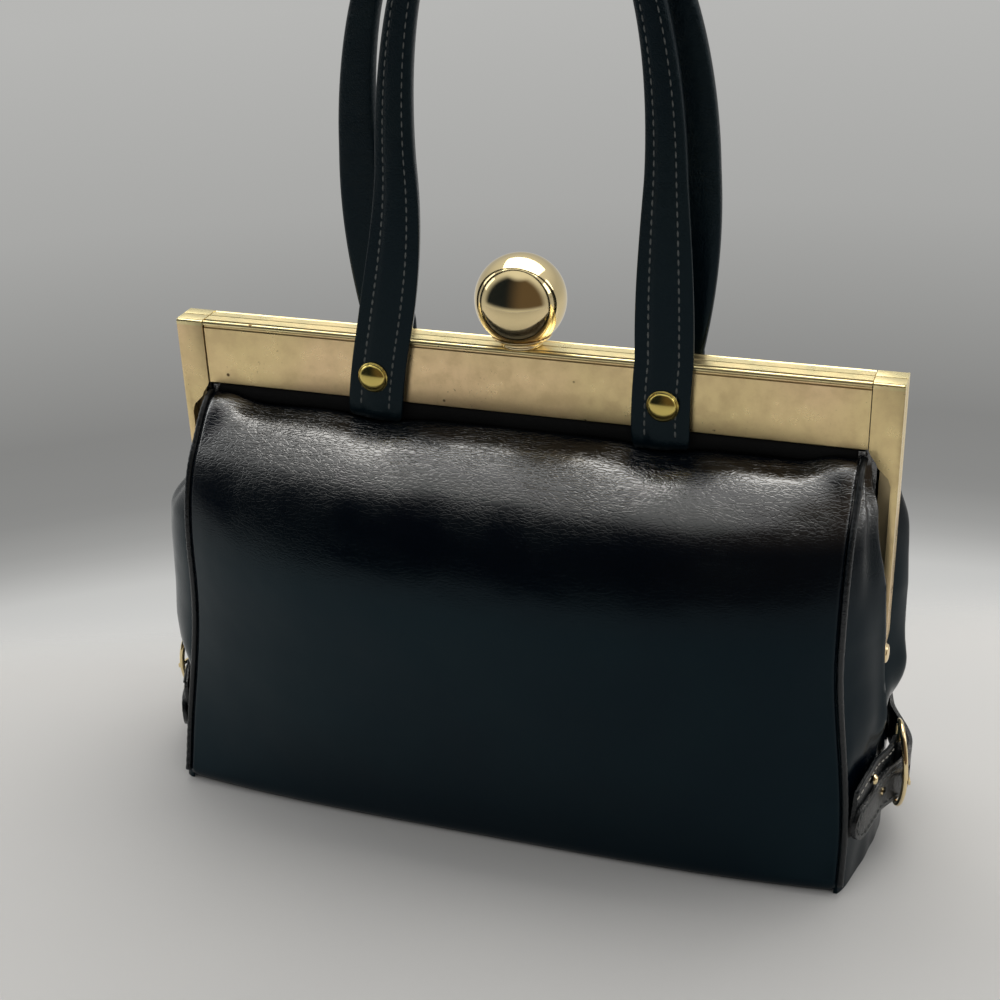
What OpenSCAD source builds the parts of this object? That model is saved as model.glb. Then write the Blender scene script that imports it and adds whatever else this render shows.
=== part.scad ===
// Structured leather frame handbag: two plated frame halves turn on a rivet at each end of the mouth,
// a large ball stands over the seam between them, and two upright strap handles are riveted to the plates.
// Origin: middle of the bottom, on the surface it stands on. X runs along the frame, the front faces -Y.

/* [Frame] */
// Length of the frame over its side arms
frame_l = 280; // [240:1:330]
// Height of the top of the frame above the ground
frame_z = 186; // [176:1:215]
// Height of the hinge rivets above the ground
hinge_z = 75; // [70:1:82]
// Depth of one frame half, from the seam to its front
half_d = 6.5; // [6:0.1:9]
// Gap between the two closed frame halves
seam_gap = 0.4; // [0.3:0.1:0.8]
// Thickness of the inner steel channel
channel_t = 1.0; // [0.8:0.1:1.2]
// Thickness of the polished outer sheet
sheet_t = 0.6; // [0.5:0.1:0.8]
// Height of the wide face plates
plate_h = 26; // [22:1:30]
// Width of the arm covers at the top corners
corner_w = 11; // [9:0.5:14]
// Width of the lip down the front of each arm
lip_w = 2.6; // [2.2:0.1:4]
// Drop of the slanted lower edge of a corner
corner_drop = 13; // [9:1:18]
// Radius of the bead along the top edge
bead_r = 1.0; // [0.8:0.1:1.3]

/* [Hinge] */
// Diameter of the hinge pin
pin_d = 3; // [2.5:0.1:3.5]
// Running clearance round pins and bars
run_gap = 0.08; // [0.05:0.01:0.1]
// Diameter of the domed hinge head
hinge_head_d = 8.3; // [7:0.1:9.4]
// Radius of the flat ears round the pin
ear_r = 5; // [4:0.1:5]

/* [Clasp] */
// Diameter of the ball
ball_d = 34; // [28:1:40]
// Wall of the hollow ball
ball_wall = 0.8; // [0.6:0.1:1.2]
// Width of the cup rim under the ball
cup_rim_d = 22.4; // [18:0.2:24]
// Thickness of the cup
cup_t = 0.7; // [0.5:0.1:0.9]
// Diameter of the stud that carries the ball
stud_d = 2.6; // [2:0.1:2.8]
// Diameter of the locking bead inside the frame
lock_d = 3.6; // [3.2:0.1:3.7]

/* [Handles] */
// Distance between the two rivets of a handle
rivet_pitch = 112; // [90:1:130]
// Drop of the rivets below the top of the frame
rivet_drop = 14.6; // [12:0.2:15]
// Width of the strap where it flexes, just above the frame
strap_w = 21.5; // [16:0.5:24]
// Width of the lower end of the strap
tail_w = 23.5; // [20:0.5:26]
// Thickness of the padded strap
strap_t = 4.4; // [3.6:0.1:5.5]
// Width of the rolled handle at the top of its arch
grip_w = 10; // [8:0.5:13]
// Thickness of the rolled handle at the top of its arch
grip_t = 7.5; // [6:0.5:10]
// Height of the handle arches above the frame
handle_rise = 173; // [150:1:200]
// Half the distance between the legs of the front handle at mid height
front_leg_x = 48.5; // [44:0.5:54]
// Half the distance between the legs of the rear handle at mid height
rear_leg_x = 63.5; // [58:0.5:68]
// How far the front handle leans to the right at mid height
front_skew = 7.5; // [0:0.5:9]
// Length of strap below the rivet centre
tail_l = 17.5; // [15:0.5:17.5]
// Diameter of the domed rivet caps
cap_d = 12; // [10:0.5:14]

/* [Body] */
// How far each end of the frame stands out beyond the body at the floor
base_in = 7; // [4:0.5:16]
// How much narrower the body is at the top, on each side
side_taper = 6.5; // [4:0.5:8]
// Half the depth of the body at the bottom corners
base_y = 54; // [48:1:60]
// Half the depth of the body at its waist, along the side seams
waist_y = 40.2; // [36:0.2:46]
// How far the middle of each panel stands out beyond the seams at the waist
crown = 18.5; // [12:0.5:22]
// Drop of the shoulder seam below the top of the frame
shoulder_drop = 35; // [33:0.5:38]
// Thickness of the leather
leather_t = 1.4; // [1.2:0.1:1.6]
// Thickness of the lining cloth
lining_t = 0.8; // [0.6:0.1:1]
// Thickness of the stiffening board
board_t = 1.2; // [1:0.1:1.5]
// Radius of the piping in the side seams
piping_r = 1.2; // [1:0.1:1.4]
// Bulge of the gussets beyond the seams
gusset_out = 9.6; // [7:0.2:11]
// Bulge of the gusset lobes beside the frame arms
lobe_out = 12; // [8:0.5:13]

/* [Belts] */
// Height of the belts above the ground
belt_z = 31; // [28:1:36]
// Width of the front band of each belt
band_w = 22; // [20:0.5:24]
// Height of the middle of the band above the middle of the buckle
band_up = 1.5; // [0:0.5:2.5]
// Width of the buckled strap
belt_w = 17; // [14:1:18]
// Thickness of the belt leather
belt_t = 1.5; // [1.3:0.1:1.8]
// Drop of the tip of the strap below the buckle
tip_drop = 5; // [2:0.5:6]
// Height of the oval buckle
buckle_h = 37; // [34:0.5:40]
// Length of the oval buckle
buckle_l = 26; // [24:0.5:28]
// Diameter of the buckle wire
wire_d = 2.4; // [2:0.1:2.6]
// How far the sides of the buckle are bowed out from its bar
buckle_bow = 0.9; // [0.5:0.1:1.2]
// Turn of the buckle on its bar, its front side lifted by the strap
buckle_tilt = 15; // [10:1:18]
// Width of the buckle prong
prong_w = 1.6; // [1.4:0.1:2]
// How far each buckle can swing on its bar
swing_deg = 2; // [1:0.5:3]

/* [Hidden] */
$fn = 48;

gold = "#d2b26e";
polished_gold = "#d9b44a";
steel_tone = "#9a8a55";
black_leather = "#14191c";
black_cord = "#0c0f11";
lining_cloth = "#3a3a3c";
grey_board = "#a69a86";

// Frame places, on the front half
half_l = frame_l / 2;
seam_y = seam_gap / 2;
cover_in = half_d - sheet_t;
arm_x = half_l - sheet_t;
web_x = arm_x - channel_t;
plate_x = half_l - corner_w - 0.4;
plate_bottom = frame_z - plate_h;
plate_t = sheet_t + 0.2;
plate_back = cover_in - plate_t;
bar_top = frame_z - sheet_t - 0.2;
bead_y = -half_d + bead_r;
bead_z = frame_z - bead_r - 0.2;
ear_gap = 0.2;
arm_bottom = hinge_z + ear_r + 1;
flange_x = half_l - 9.5;
inner_wall_h = 9;
facing_y = plate_back - channel_t - 0.85;

// Clasp places
foot_gap = 0.1;
foot_t = 0.5;
ball_r = ball_d / 2;
ball_gap = 0.05;
ball_z = frame_z + foot_gap + foot_t + ball_r - 0.1;
stud_y = seam_y + lock_d / 2 + 0.2;
lock_z = frame_z - 10;
finger_t = 0.8;
finger_gap = 0.15;
finger_h = 3;

// Handle places
strap_in = half_d + 0.1;
strap_mid = strap_in + strap_t / 2;
strap_out = strap_in + strap_t;
rivet_x = rivet_pitch / 2;
rivet_z = frame_z - rivet_drop;
flex_z = frame_z + 1.5;
flex_share = 0.34;
front_lean = 4;
front_flex_x = rivet_x + 0.3 * (front_leg_x - rivet_x);
arch_z = flex_z + 0.38 * handle_rise;
arch_top = frame_z + handle_rise - grip_w / 2;
tail_z = rivet_z - tail_l;
tail_corner = 2;
shank_d = 3;
washer_t = 0.7;
washer_d = shank_d + 3;

// Body places
base_x = half_l - base_in;
split_gap = 3.2;
shoulder_z = frame_z - shoulder_drop;
waist_z = 80;
split_z = 111;
taper_low = 15;
taper_high = 95;
top_y = half_d - 1;
gusset_split = hinge_z - ear_r - 1;
lobe_low = 42;
lobe_high = gusset_split - 4;
lobe_in = 5;
seam_in = leather_t + 1.1;
seam_gap_x = 0.3;
turn_in = 5;
turn_taper = 0.008;
foot_v = 5 / waist_z;
floor_z = leather_t + 0.2;
base_board_t = 2.4;
lining_in = leather_t + board_t + 0.85;
facing_drop = 42;
facing_t = 0.7;
pocket_low = 22;
pocket_high = 96;
pocket_t = 0.7;

// Places on the right belt
skin_gap = 0.3;
bar_y = -6;
band_low = belt_z + band_up - band_w / 2;
band_high = belt_z + band_up + band_w / 2;
band_run = 18;
ring_a = (buckle_l - wire_d) / 2;
ring_b = (buckle_h - wire_d) / 2;
rim_swing = ring_a * sin(swing_deg);
rim_room = 2.1;
loop_r = wire_d / 2 + run_gap + 0.07;
bar_x = gusset_at(bar_y + ring_a, belt_z) + wire_d / 2 + rim_swing + rim_room
  + ring_a * sin(buckle_tilt) - buckle_bow * cos(buckle_tilt);
over_bar = bar_x + loop_r + belt_t + skin_gap;
strap_z = belt_z - 0.8;
strap_rise = 17.5;
strap_fall = 26;
prong_t = 0.9;
rivet_y = -29;
eyelet_y = bar_y - 16;
eyelet_d = 3.2;
eyelet_z = strap_z - tip_drop * 0.4;

// From a to b with a soft start and end, as s runs 0 to 1
function ease(a, b, s) = let (c = min(1, max(0, s))) a + (b - a) * c * c * (3 - 2 * c);

// Side seam, half width of the body at a height
function seam_x(z) = base_x - ease(0, side_taper, (z - taper_low) / (taper_high - taper_low));

// A point up the wall: v runs 0 to 1 from the floor to the waist and 1 to 2 over the shoulder.
// m is 0 on the side seam and 1 in the middle of the panel. The result is [depth, height].
function wall(v, m) = v <= 1
  ? [waist_y + (base_y - waist_y) * pow(1 - v, 2.2)
       + m * (crown - (crown - 3) * pow(1 - v, 2.2)), waist_z * v]
  : let (a = 90 * (v - 1), reach = waist_y + m * crown - top_y, rise = shoulder_z - 1.5 + 1.5 * m - waist_z)
    [top_y + reach * pow(cos(a), 0.95), waist_z + rise * pow(sin(a), 0.62)];
// Height to v on the side seam, above the waist
function v_of(z) = z <= waist_z ? z / waist_z
  : 1 + asin(pow(min(1, (z - waist_z) / (shoulder_z - 1.5 - waist_z)), 1 / 0.62)) / 90;
function crown_at(t) = 1 - pow(abs(t), 3.4);

// Outward direction of the wall in the [depth, height] plane
function wall_normal(v, m) = let (
    e = 0.01, a = wall(max(0, v - e), m), b = wall(min(1.995, v + e), m), d = b - a)
  [d[1], -d[0]] / norm(d);

// One point of the front wall, sunk inwards by depth: t runs -1 to 1 across, edge is the side margin
function wall_point(t, v, sink, edge) = let (m = crown_at(t), p = wall(v, m), n = wall_normal(v, m))
  [t * (seam_x(p[1]) - edge), -(p[0] - sink * n[0]), p[1] - sink * n[1]];

// Closed sheet from an outer and an inner grid of points, rows by columns
module sheet(outer, inner) {
  rows = len(outer);
  cols = len(outer[0]);
  half = rows * cols;
  points = concat([for (r = outer) each r], [for (r = inner) each r]);
  function id(r, c) = r * cols + c;
  faces = concat(
    [for (r = [0:rows - 2], c = [0:cols - 2]) each
      [[id(r, c), id(r + 1, c), id(r + 1, c + 1)], [id(r, c), id(r + 1, c + 1), id(r, c + 1)]]],
    [for (r = [0:rows - 2], c = [0:cols - 2]) each
      [[half + id(r, c), half + id(r + 1, c + 1), half + id(r + 1, c)],
       [half + id(r, c), half + id(r, c + 1), half + id(r + 1, c + 1)]]],
    [for (c = [0:cols - 2]) each
      [[id(0, c), id(0, c + 1), half + id(0, c + 1)], [id(0, c), half + id(0, c + 1), half + id(0, c)],
       [id(rows - 1, c), half + id(rows - 1, c), half + id(rows - 1, c + 1)],
       [id(rows - 1, c), half + id(rows - 1, c + 1), id(rows - 1, c + 1)]]],
    [for (r = [0:rows - 2]) each
      [[id(r, 0), half + id(r, 0), half + id(r + 1, 0)], [id(r, 0), half + id(r + 1, 0), id(r + 1, 0)],
       [id(r, cols - 1), id(r + 1, cols - 1), half + id(r + 1, cols - 1)],
       [id(r, cols - 1), half + id(r + 1, cols - 1), half + id(r, cols - 1)]]]);
  polyhedron(points, faces, 6);
}

// A piece of the front wall between two heights, from sink to sink plus thickness
module wall_sheet(v_low, v_high, sink, thick, edge, across, rows = 9, cols = 16) {
  v = [for (i = [0:rows]) v_low + (v_high - v_low) * i / rows];
  t = [for (i = [0:cols]) across * (2 * i / cols - 1)];
  sheet([for (b = v) [for (a = t) wall_point(a, b, sink, edge)]],
        [for (b = v) [for (a = t) wall_point(a, b, sink + thick, edge)]]);
}

// Closed tube through rings of points, first and last ring capped
module skin(rings) {
  n = len(rings[0]);
  k = len(rings);
  points = [for (r = rings) each r];
  faces = concat(
    [[for (i = [0:n - 1]) i]],
    [for (r = [0:k - 2], i = [0:n - 1]) let (j = (i + 1) % n) each
      [[r * n + i, (r + 1) * n + i, (r + 1) * n + j], [r * n + i, (r + 1) * n + j, r * n + j]]],
    [[for (i = [n - 1:-1:0]) (k - 1) * n + i]]);
  polyhedron(points, faces, 6);
}

// Copies on both sides of the seam between the halves
module rear() {
  mirror([0, 1, 0]) children();
}

module both_ends() {
  children();
  mirror([1, 0, 0]) children();
}

// Box from its lowest to its highest corner
module block(a, b) {
  translate(a) cube(b - a);
}

// Inner steel channel of the front half; ear_in moves the ears inwards so that they pass the other half's
module frame_half(ear_in) {
  ear_out_x = web_x + channel_t - ear_in;
  joggle_h = 1.2;
  difference() {
    union() {
      block([-plate_x, -plate_back, plate_bottom + 1], [plate_x, -plate_back + channel_t, bar_top]);
      block([-web_x, -plate_back, bar_top - channel_t], [web_x, -seam_y, bar_top]);
      block([-web_x, -seam_y - channel_t, bar_top - inner_wall_h], [web_x, -seam_y, bar_top]);
      both_ends() {
        block([web_x, -cover_in, arm_bottom], [arm_x, -seam_y, bar_top]);
        block([arm_x - lip_w + sheet_t, -cover_in, arm_bottom], [arm_x, -cover_in + channel_t, bar_top]);
        block([plate_x + 1, -cover_in, plate_bottom + 1], [arm_x, -cover_in + channel_t, bar_top]);
        translate([0, -seam_y, 0]) rotate([90, 0, 0]) linear_extrude(channel_t)
          polygon([[flange_x, bar_top], [arm_x, bar_top], [arm_x, arm_bottom], [arm_x - 2, arm_bottom],
                   [flange_x + 1, plate_bottom - 25]]);
        block([ear_out_x - channel_t, -cover_in, arm_bottom - joggle_h / 2],
              [arm_x, -seam_y, arm_bottom + joggle_h / 2]);
        translate([ear_out_x - channel_t, 0, hinge_z]) rotate([0, 90, 0]) cylinder(h = channel_t, r = ear_r);
        block([ear_out_x - channel_t, -ear_r, hinge_z], [ear_out_x, -seam_y, arm_bottom]);
      }
    }
    both_ends() translate([half_l - 6, 0, hinge_z]) rotate([0, 90, 0])
      cylinder(h = 12, d = pin_d + 2 * run_gap);
    for (s = [-1, 1]) translate([s * rivet_x, 0, rivet_z]) rotate([90, 0, 0])
      translate([0, 0, plate_back - channel_t - 1]) cylinder(h = 3, d = shank_d + 0.2);
    // Room for the bead of the face sheet
    translate([-half_l, bead_y, bead_z]) rotate([0, 90, 0]) cylinder(h = frame_l, r = bead_r + 0.05);
    // Window for the catch, through the inner wall
    block([-7, -seam_y - channel_t - 0.1, bar_top - inner_wall_h - 1], [7, 1, bar_top - channel_t - 0.6]);
  }
}

module front_frame() {
  color(steel_tone) difference() {
    frame_half(0);
    translate([0, -stud_y, frame_z - 6]) cylinder(h = 8, d = stud_d + 0.2);
  }
}

module rear_frame() {
  color(steel_tone) rear() frame_half(channel_t + ear_gap);
}

// Face plate with its beaded top edge, folded back over the channel
module plate_cover() {
  difference() {
    union() {
      block([-plate_x, -cover_in, plate_bottom], [plate_x, -cover_in + plate_t, frame_z - bead_r]);
      translate([-plate_x, bead_y, bead_z]) rotate([0, 90, 0]) cylinder(h = 2 * plate_x, r = bead_r);
      translate([-plate_x, 0, 0]) rotate([90, 0, 90]) linear_extrude(2 * plate_x)
        polygon([[-half_d + bead_r, bar_top], [-seam_y, bar_top], [-seam_y, frame_z],
                 [-seam_y - 1.2, frame_z], [-half_d + bead_r, frame_z - 0.2]]);
      // Folded hem on the lower edge
      translate([-plate_x, -cover_in + plate_t, plate_bottom + 0.5]) rotate([0, 90, 0])
        cylinder(h = 2 * plate_x, r = 0.5);
    }
    for (s = [-1, 1]) translate([s * rivet_x, 0, rivet_z]) rotate([90, 0, 0])
      translate([0, 0, plate_back - 0.5]) cylinder(h = 3, d = shank_d + 0.2);
  }
}

module front_plate() {
  color(gold) difference() {
    plate_cover();
    translate([0, -stud_y, frame_z - 6]) cylinder(h = 8, d = stud_d + 0.2);
  }
}

module rear_plate() {
  color(gold) rear() plate_cover();
}

// Polished cover of the right front arm: wide at the corner, a narrow lip below, closed down the side
module arm_cover() {
  corner_x = half_l - corner_w;
  union() {
    translate([0, -cover_in, 0]) rotate([90, 0, 0]) linear_extrude(sheet_t)
      polygon([[corner_x, bead_z], [half_l, bead_z], [half_l, arm_bottom],
               [half_l - lip_w, arm_bottom], [half_l - lip_w, plate_bottom - corner_drop],
               [half_l - lip_w - 1, plate_bottom - corner_drop + 3],
               [corner_x + 3.4, plate_bottom - 6], [corner_x + 2.7, plate_bottom - 4.2],
               [corner_x + 0.8, plate_bottom - 1.6], [corner_x, plate_bottom]]);
    block([arm_x, -half_d + 0.4, arm_bottom], [half_l, -seam_y, frame_z - 0.2]);
    block([corner_x, bead_y, bar_top], [half_l, -seam_y, frame_z]);
    translate([corner_x, bead_y, bead_z]) rotate([0, 90, 0]) cylinder(h = corner_w, r = bead_r);
    block([corner_x, -half_d, bead_z], [half_l, bead_y, bead_z + bead_r * 0.3]);
    // Return edge of the corner, down to the channel behind the plate's end
    block([corner_x, -cover_in, plate_bottom], [corner_x + sheet_t, -plate_back, bar_top]);
  }
}

module front_right_arm_cover() {
  color(gold) arm_cover();
}

module front_left_arm_cover() {
  color(gold) mirror([1, 0, 0]) arm_cover();
}

module rear_right_arm_cover() {
  color(gold) rear() arm_cover();
}

module rear_left_arm_cover() {
  color(gold) rear() mirror([1, 0, 0]) arm_cover();
}

// Pins with a domed outer head
module hinge_rivets() {
  head_h = 1.8;
  head_r = hinge_head_d / 2;
  pin_in = web_x - ear_gap - channel_t - 1.2;
  color(polished_gold) both_ends() {
    translate([pin_in, 0, hinge_z]) rotate([0, 90, 0]) cylinder(h = arm_x + 0.3 - pin_in, d = pin_d);
    translate([arm_x + 0.1, 0, hinge_z]) rotate([0, 90, 0]) rotate_extrude()
      polygon([[0, 0], [head_r, 0], [head_r, 0.35],
               for (a = [15:15:75]) [head_r * cos(a), 0.35 + (head_h - 0.35) * sin(a)], [0, head_h]]);
  }
}

module hinge_washers() {
  back = web_x - ear_gap - channel_t - 0.1;
  color(steel_tone) both_ends() translate([back - washer_t, 0, hinge_z]) rotate([0, 90, 0]) difference() {
    cylinder(h = washer_t, d = pin_d + 3.4);
    translate([0, 0, -0.5]) cylinder(h = 2, d = pin_d + 0.05);
  }
}

module clasp_ball() {
  color(polished_gold) difference() {
    translate([0, 0, ball_z]) sphere(r = ball_r, $fn = 96);
    translate([0, 0, ball_z]) sphere(r = ball_r - ball_wall, $fn = 96);
    translate([0, -stud_y, frame_z]) cylinder(h = 8, d = stud_d + 0.2);
  }
}

// Cup that hugs the lower part of the ball, on a flat foot
module clasp_cup() {
  in_r = ball_r + ball_gap;
  out_r = in_r + cup_t;
  rim_a = asin(cup_rim_d / 2 / out_r);
  foot_r = 7.6;
  foot_z = frame_z + foot_gap;
  steps = 10;
  color(polished_gold) difference() {
    rotate_extrude($fn = 96) difference() {
      union() {
        polygon([[0, ball_z], for (i = [0:steps]) let (a = rim_a * i / steps)
          [out_r * sin(a), ball_z - out_r * cos(a)]]);
        translate([0, foot_z]) square([foot_r, 1.6]);
        translate([out_r * sin(rim_a), ball_z - out_r * cos(rim_a) + 0.1]) circle(r = 0.45);
      }
      translate([0, ball_z]) circle(r = in_r, $fn = 192);
      translate([-40, frame_z - 20]) square([40, 80]);
      translate([-40, foot_z - 5]) square([80, 5]);
    }
    translate([0, -stud_y, frame_z - 1]) cylinder(h = 8, d = stud_d + 0.2);
  }
}

// Stud through the cup and the front half, with a riveted head in the ball and the locking bead below
module clasp_stud() {
  floor_z = ball_z - sqrt(pow(ball_r - ball_wall, 2) - pow(stud_y, 2)) + 0.9;
  color(polished_gold) translate([0, -stud_y, 0]) union() {
    translate([0, 0, lock_z]) cylinder(h = floor_z + 1 - lock_z, d = stud_d);
    translate([0, 0, floor_z]) cylinder(h = 1.2, d = stud_d + 2.4);
    translate([0, 0, lock_z]) sphere(d = lock_d);
  }
}

// Spring fork of the rear half: its two fingers reach forward and pinch the locking bead
module catch_spring() {
  inner = lock_d / 2 + finger_gap;
  tip_y = -stud_y - lock_d / 2 + 0.4;
  back_y = plate_back - channel_t - 0.2;
  color(steel_tone) union() {
    for (s = [-1, 1]) block([s > 0 ? inner : -inner - finger_t, tip_y, lock_z - finger_h / 2],
                            [s > 0 ? inner + finger_t : -inner, back_y, lock_z + finger_h / 2]);
    difference() {
      block([-9, back_y - finger_t, lock_z - finger_h / 2 - 4.5], [9, back_y, lock_z + finger_h / 2]);
      for (s = [-1, 1]) translate([s * 6, back_y + 1, lock_z - 2.6]) rotate([90, 0, 0])
        cylinder(h = 4, d = 1.9);
    }
  }
}

// Two small rivets that hold the fork to the rear channel
module catch_rivets() {
  back_y = plate_back - channel_t - 0.2;
  color(steel_tone) for (s = [-1, 1]) translate([s * 6, back_y + 0.15, lock_z - 2.6]) rotate([90, 0, 0]) {
    cylinder(h = finger_t + 0.4, d = 1.8);
    translate([0, 0, finger_t + 0.2]) cylinder(h = 0.6, d = 3);
  }
}

// A point on a leg's centre line and its shift to the right: s is 0 at the flex line and 1 at the crest
function handle_pt(s, flex, leg, skew, lean) = let (
    low = sin(90 * min(1, s / 0.45)), a = 90 * max(0, (s - 0.45) / 0.55),
    x = s < 0.45 ? flex + (leg - flex) * low : leg * pow(max(0, cos(a)), 0.68),
    z = s < 0.45 ? flex_z + (arch_z - flex_z) * s / 0.45 : arch_z + (arch_top - arch_z) * sin(a))
  [x, -strap_mid + lean * (1 - cos(180 * min(1, (z - flex_z) / (arch_top - flex_z)))) / 2, z,
   skew * (flex_share + (1 - flex_share) * low)];

// Superellipse section: flat strap below, round roll at the crest
function handle_ring(p, dir, w, t) = [for (k = [0:11]) let (a = 30 * k + 15,
    u = w / 2 * sign(cos(a)) * pow(abs(cos(a)), 0.55), v = t / 2 * sign(sin(a)) * pow(abs(sin(a)), 0.8))
  p + u * [dir[1], 0, -dir[0]] + v * [0, 1, 0]];

// Upright arch of a handle, above the line where the strap flexes
module handle_arch(flex, leg, skew, lean) {
  n = 16;
  left = [for (i = [0:n]) handle_pt(i / n, flex, leg, skew, lean)];
  path = concat([for (p = left) [-p[0] + p[3], p[1], p[2]]],
                [for (i = [n - 1:-1:0]) let (p = left[i]) [p[0] + p[3], p[1], p[2]]]);
  m = len(path) - 1;
  skin([for (i = [0:m]) let (
      d = path[min(m, i + 1)] - path[max(0, i - 1)],
      dir = i == 0 ? [0, 1] : i == m ? [0, -1] : [d[0], d[2]] / norm([d[0], d[2]]),
      s = min(i, m - i) / n / 0.75)
    handle_ring(path[i], dir, ease(strap_w, grip_w, s), ease(strap_t, grip_t, s))]);
}

module front_handle() {
  color(black_leather) handle_arch(front_flex_x, front_leg_x, front_skew, front_lean);
}

module rear_handle() {
  color(black_leather) rear() handle_arch(rivet_x, rear_leg_x, 0, 0);
}

// Riveted ends of a handle, flat on the plate and aimed at where the legs flex
module handle_ends(flex, skew) {
  top = flex_z - 0.2;
  color(black_leather) for (s = [-1, 1]) let (aim = s * flex + skew * flex_share)
    translate([0, -strap_in, 0]) rotate([90, 0, 0]) difference() {
      linear_extrude(strap_t) polygon([
        [aim - strap_w / 2, top],
        [s * rivet_x - tail_w / 2, tail_z + tail_corner], [s * rivet_x - tail_w / 2 + tail_corner, tail_z],
        [s * rivet_x + tail_w / 2 - tail_corner, tail_z], [s * rivet_x + tail_w / 2, tail_z + tail_corner],
        [aim + strap_w / 2, top]]);
      translate([s * rivet_x, rivet_z, -1]) cylinder(h = strap_t + 2, d = shank_d + 0.2);
    }
}

module front_handle_ends() {
  handle_ends(front_flex_x, front_skew);
}

module rear_handle_ends() {
  rear() handle_ends(rivet_x, 0);
}

// Domed caps with a flat rim and the shank through strap, plate and channel
module cap_rivets() {
  rim_r = cap_d / 2;
  dome_r = rim_r - 1.2;
  dome_h = 2.6;
  reach = plate_back - channel_t - 0.9;
  color(polished_gold) for (s = [-1, 1]) translate([s * rivet_x, -strap_out - 0.1, rivet_z])
    rotate([90, 0, 0]) union() {
      rotate_extrude() polygon([[0, 0], [rim_r, 0], [rim_r, 0.7], [dome_r, 1],
        for (a = [15:15:75]) [dome_r * cos(a), 1 + dome_h * sin(a)], [0, 1 + dome_h]]);
      translate([0, 0, -(strap_out + 0.1 - reach)]) cylinder(h = strap_out + 0.2 - reach, d = shank_d);
    }
}

module front_handle_rivets() {
  cap_rivets();
}

module rear_handle_rivets() {
  rear() cap_rivets();
}

module rivet_washers() {
  inner_y = plate_back - channel_t - 0.1;
  color(steel_tone) for (s = [-1, 1]) translate([s * rivet_x, -inner_y, rivet_z]) rotate([-90, 0, 0])
    difference() {
      cylinder(h = washer_t, d = washer_d);
      translate([0, 0, -1]) cylinder(h = 3, d = shank_d + 0.05);
    }
}

module front_rivet_washers() {
  rivet_washers();
}

module rear_rivet_washers() {
  rear() rivet_washers();
}

// Rolled leather strip under the plate
module binding() {
  h = plate_bottom - shoulder_z - 2.2;
  thick = 2.4;
  color(black_cord) translate([-plate_x + 1, -facing_y - 0.2 - thick / 2, plate_bottom - 0.1 - h / 2])
    rotate([0, 90, 0]) linear_extrude(2 * plate_x - 2) scale([h / 2, thick / 2]) circle(r = 1, $fn = 24);
}

module front_binding() {
  binding();
}

module rear_binding() {
  rear() binding();
}

// Leather facing that hangs in the mouth from the channel
module facing() {
  color(black_leather) difference() {
    block([-plate_x + 4, -facing_y, plate_bottom - facing_drop],
          [plate_x - 4, -facing_y + facing_t, rivet_z - washer_d / 2 - 0.4]);
    // Room for the catch spring
    block([-11, -half_d, lock_z - 8], [11, 1, frame_z]);
  }
}

module front_facing() {
  facing();
}

module rear_facing() {
  rear() facing();
}

// Rounded top of a panel, from its split up to the frame
module shoulder() {
  color(black_leather) wall_sheet(v_of(split_z + split_gap), 1.985, 0, leather_t, seam_gap_x, 1, 12, 18);
}

module front_shoulder() {
  shoulder();
}

module rear_shoulder() {
  rear() shoulder();
}

// Piping along the right front seam between two places up the wall
module seam_cord(v_low, v_high, n) {
  sides = 8;
  path = [for (i = [0:n]) let (p = wall(v_low + (v_high - v_low) * i / n, 0))
    [seam_x(p[1]) + piping_r + 0.15, -p[0] + 0.9, p[1]]];
  skin([for (i = [0:n]) let (
      d = path[min(n, i + 1)] - path[max(0, i - 1)], q = [d[1], d[2]] / norm([d[1], d[2]]))
    [for (k = [0:sides - 1]) let (a = 360 * k / sides)
      path[i] + piping_r * (cos(a) * [1, 0, 0] + sin(a) * [0, q[1], -q[0]])]]);
}

module upper_piping() {
  color(black_cord) both_ends() seam_cord(v_of(split_z + split_gap), 1.9, 9);
}

module front_upper_piping() {
  upper_piping();
}

module rear_upper_piping() {
  rear() upper_piping();
}

// Lower part of a panel, with its edge turned under the base
module panel() {
  turn = [[turn_in, 0], [1.2, 1.1], [0.3, 3]];
  top = v_of(split_z);
  rows = 10;
  v = [for (i = [0:rows]) foot_v + (top - foot_v) * i / rows];
  t = [for (i = [0:18]) 2 * i / 18 - 1];
  function foot(a, k, sink) = let (p = wall_point(a, foot_v, 0, seam_gap_x))
    [p[0] * (1 - turn_taper * turn[k][0]), p[1] + turn[k][0] + sink * (k == 0 ? 0.1 : 0.85),
     turn[k][1] + sink * (k == 0 ? 1 : 0.5)];
  function face(sink) = concat(
    [for (k = [0:2]) [for (a = t) foot(a, k, sink)]],
    [for (b = v) [for (a = t) wall_point(a, b, sink, seam_gap_x)]]);
  color(black_leather) sheet(face(0), face(leather_t));
}

module front_panel() {
  panel();
}

module rear_panel() {
  rear() panel();
}

module lower_piping() {
  color(black_cord) both_ends() seam_cord(4 / waist_z, v_of(split_z), 14);
}

module front_piping() {
  lower_piping();
}

module rear_piping() {
  rear() lower_piping();
}

// Outline of the bottom inside the turned edges of the panels and the gussets
function base_outline(inset) = let (
    n = 12, side = [for (i = [0:n]) 2 * i / n - 1],
    x_end = (seam_x(0) - seam_gap_x) * (1 - turn_taper * turn_in),
    y_end = wall(foot_v, 0)[0] - turn_in - inset,
    front = [for (t = side) [t * (x_end - inset), -(wall(foot_v, crown_at(t))[0] - turn_in - inset)]],
    right = [for (t = side) [gusset_at(y_end * t, 0) - leather_t - inset, 0.98 * y_end * t]])
  concat(front, right, [for (p = front) -p], [for (p = right) -p]);

// Bottom leather
module base_panel() {
  color(black_leather) linear_extrude(leather_t) polygon(base_outline(0.3));
}

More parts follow.
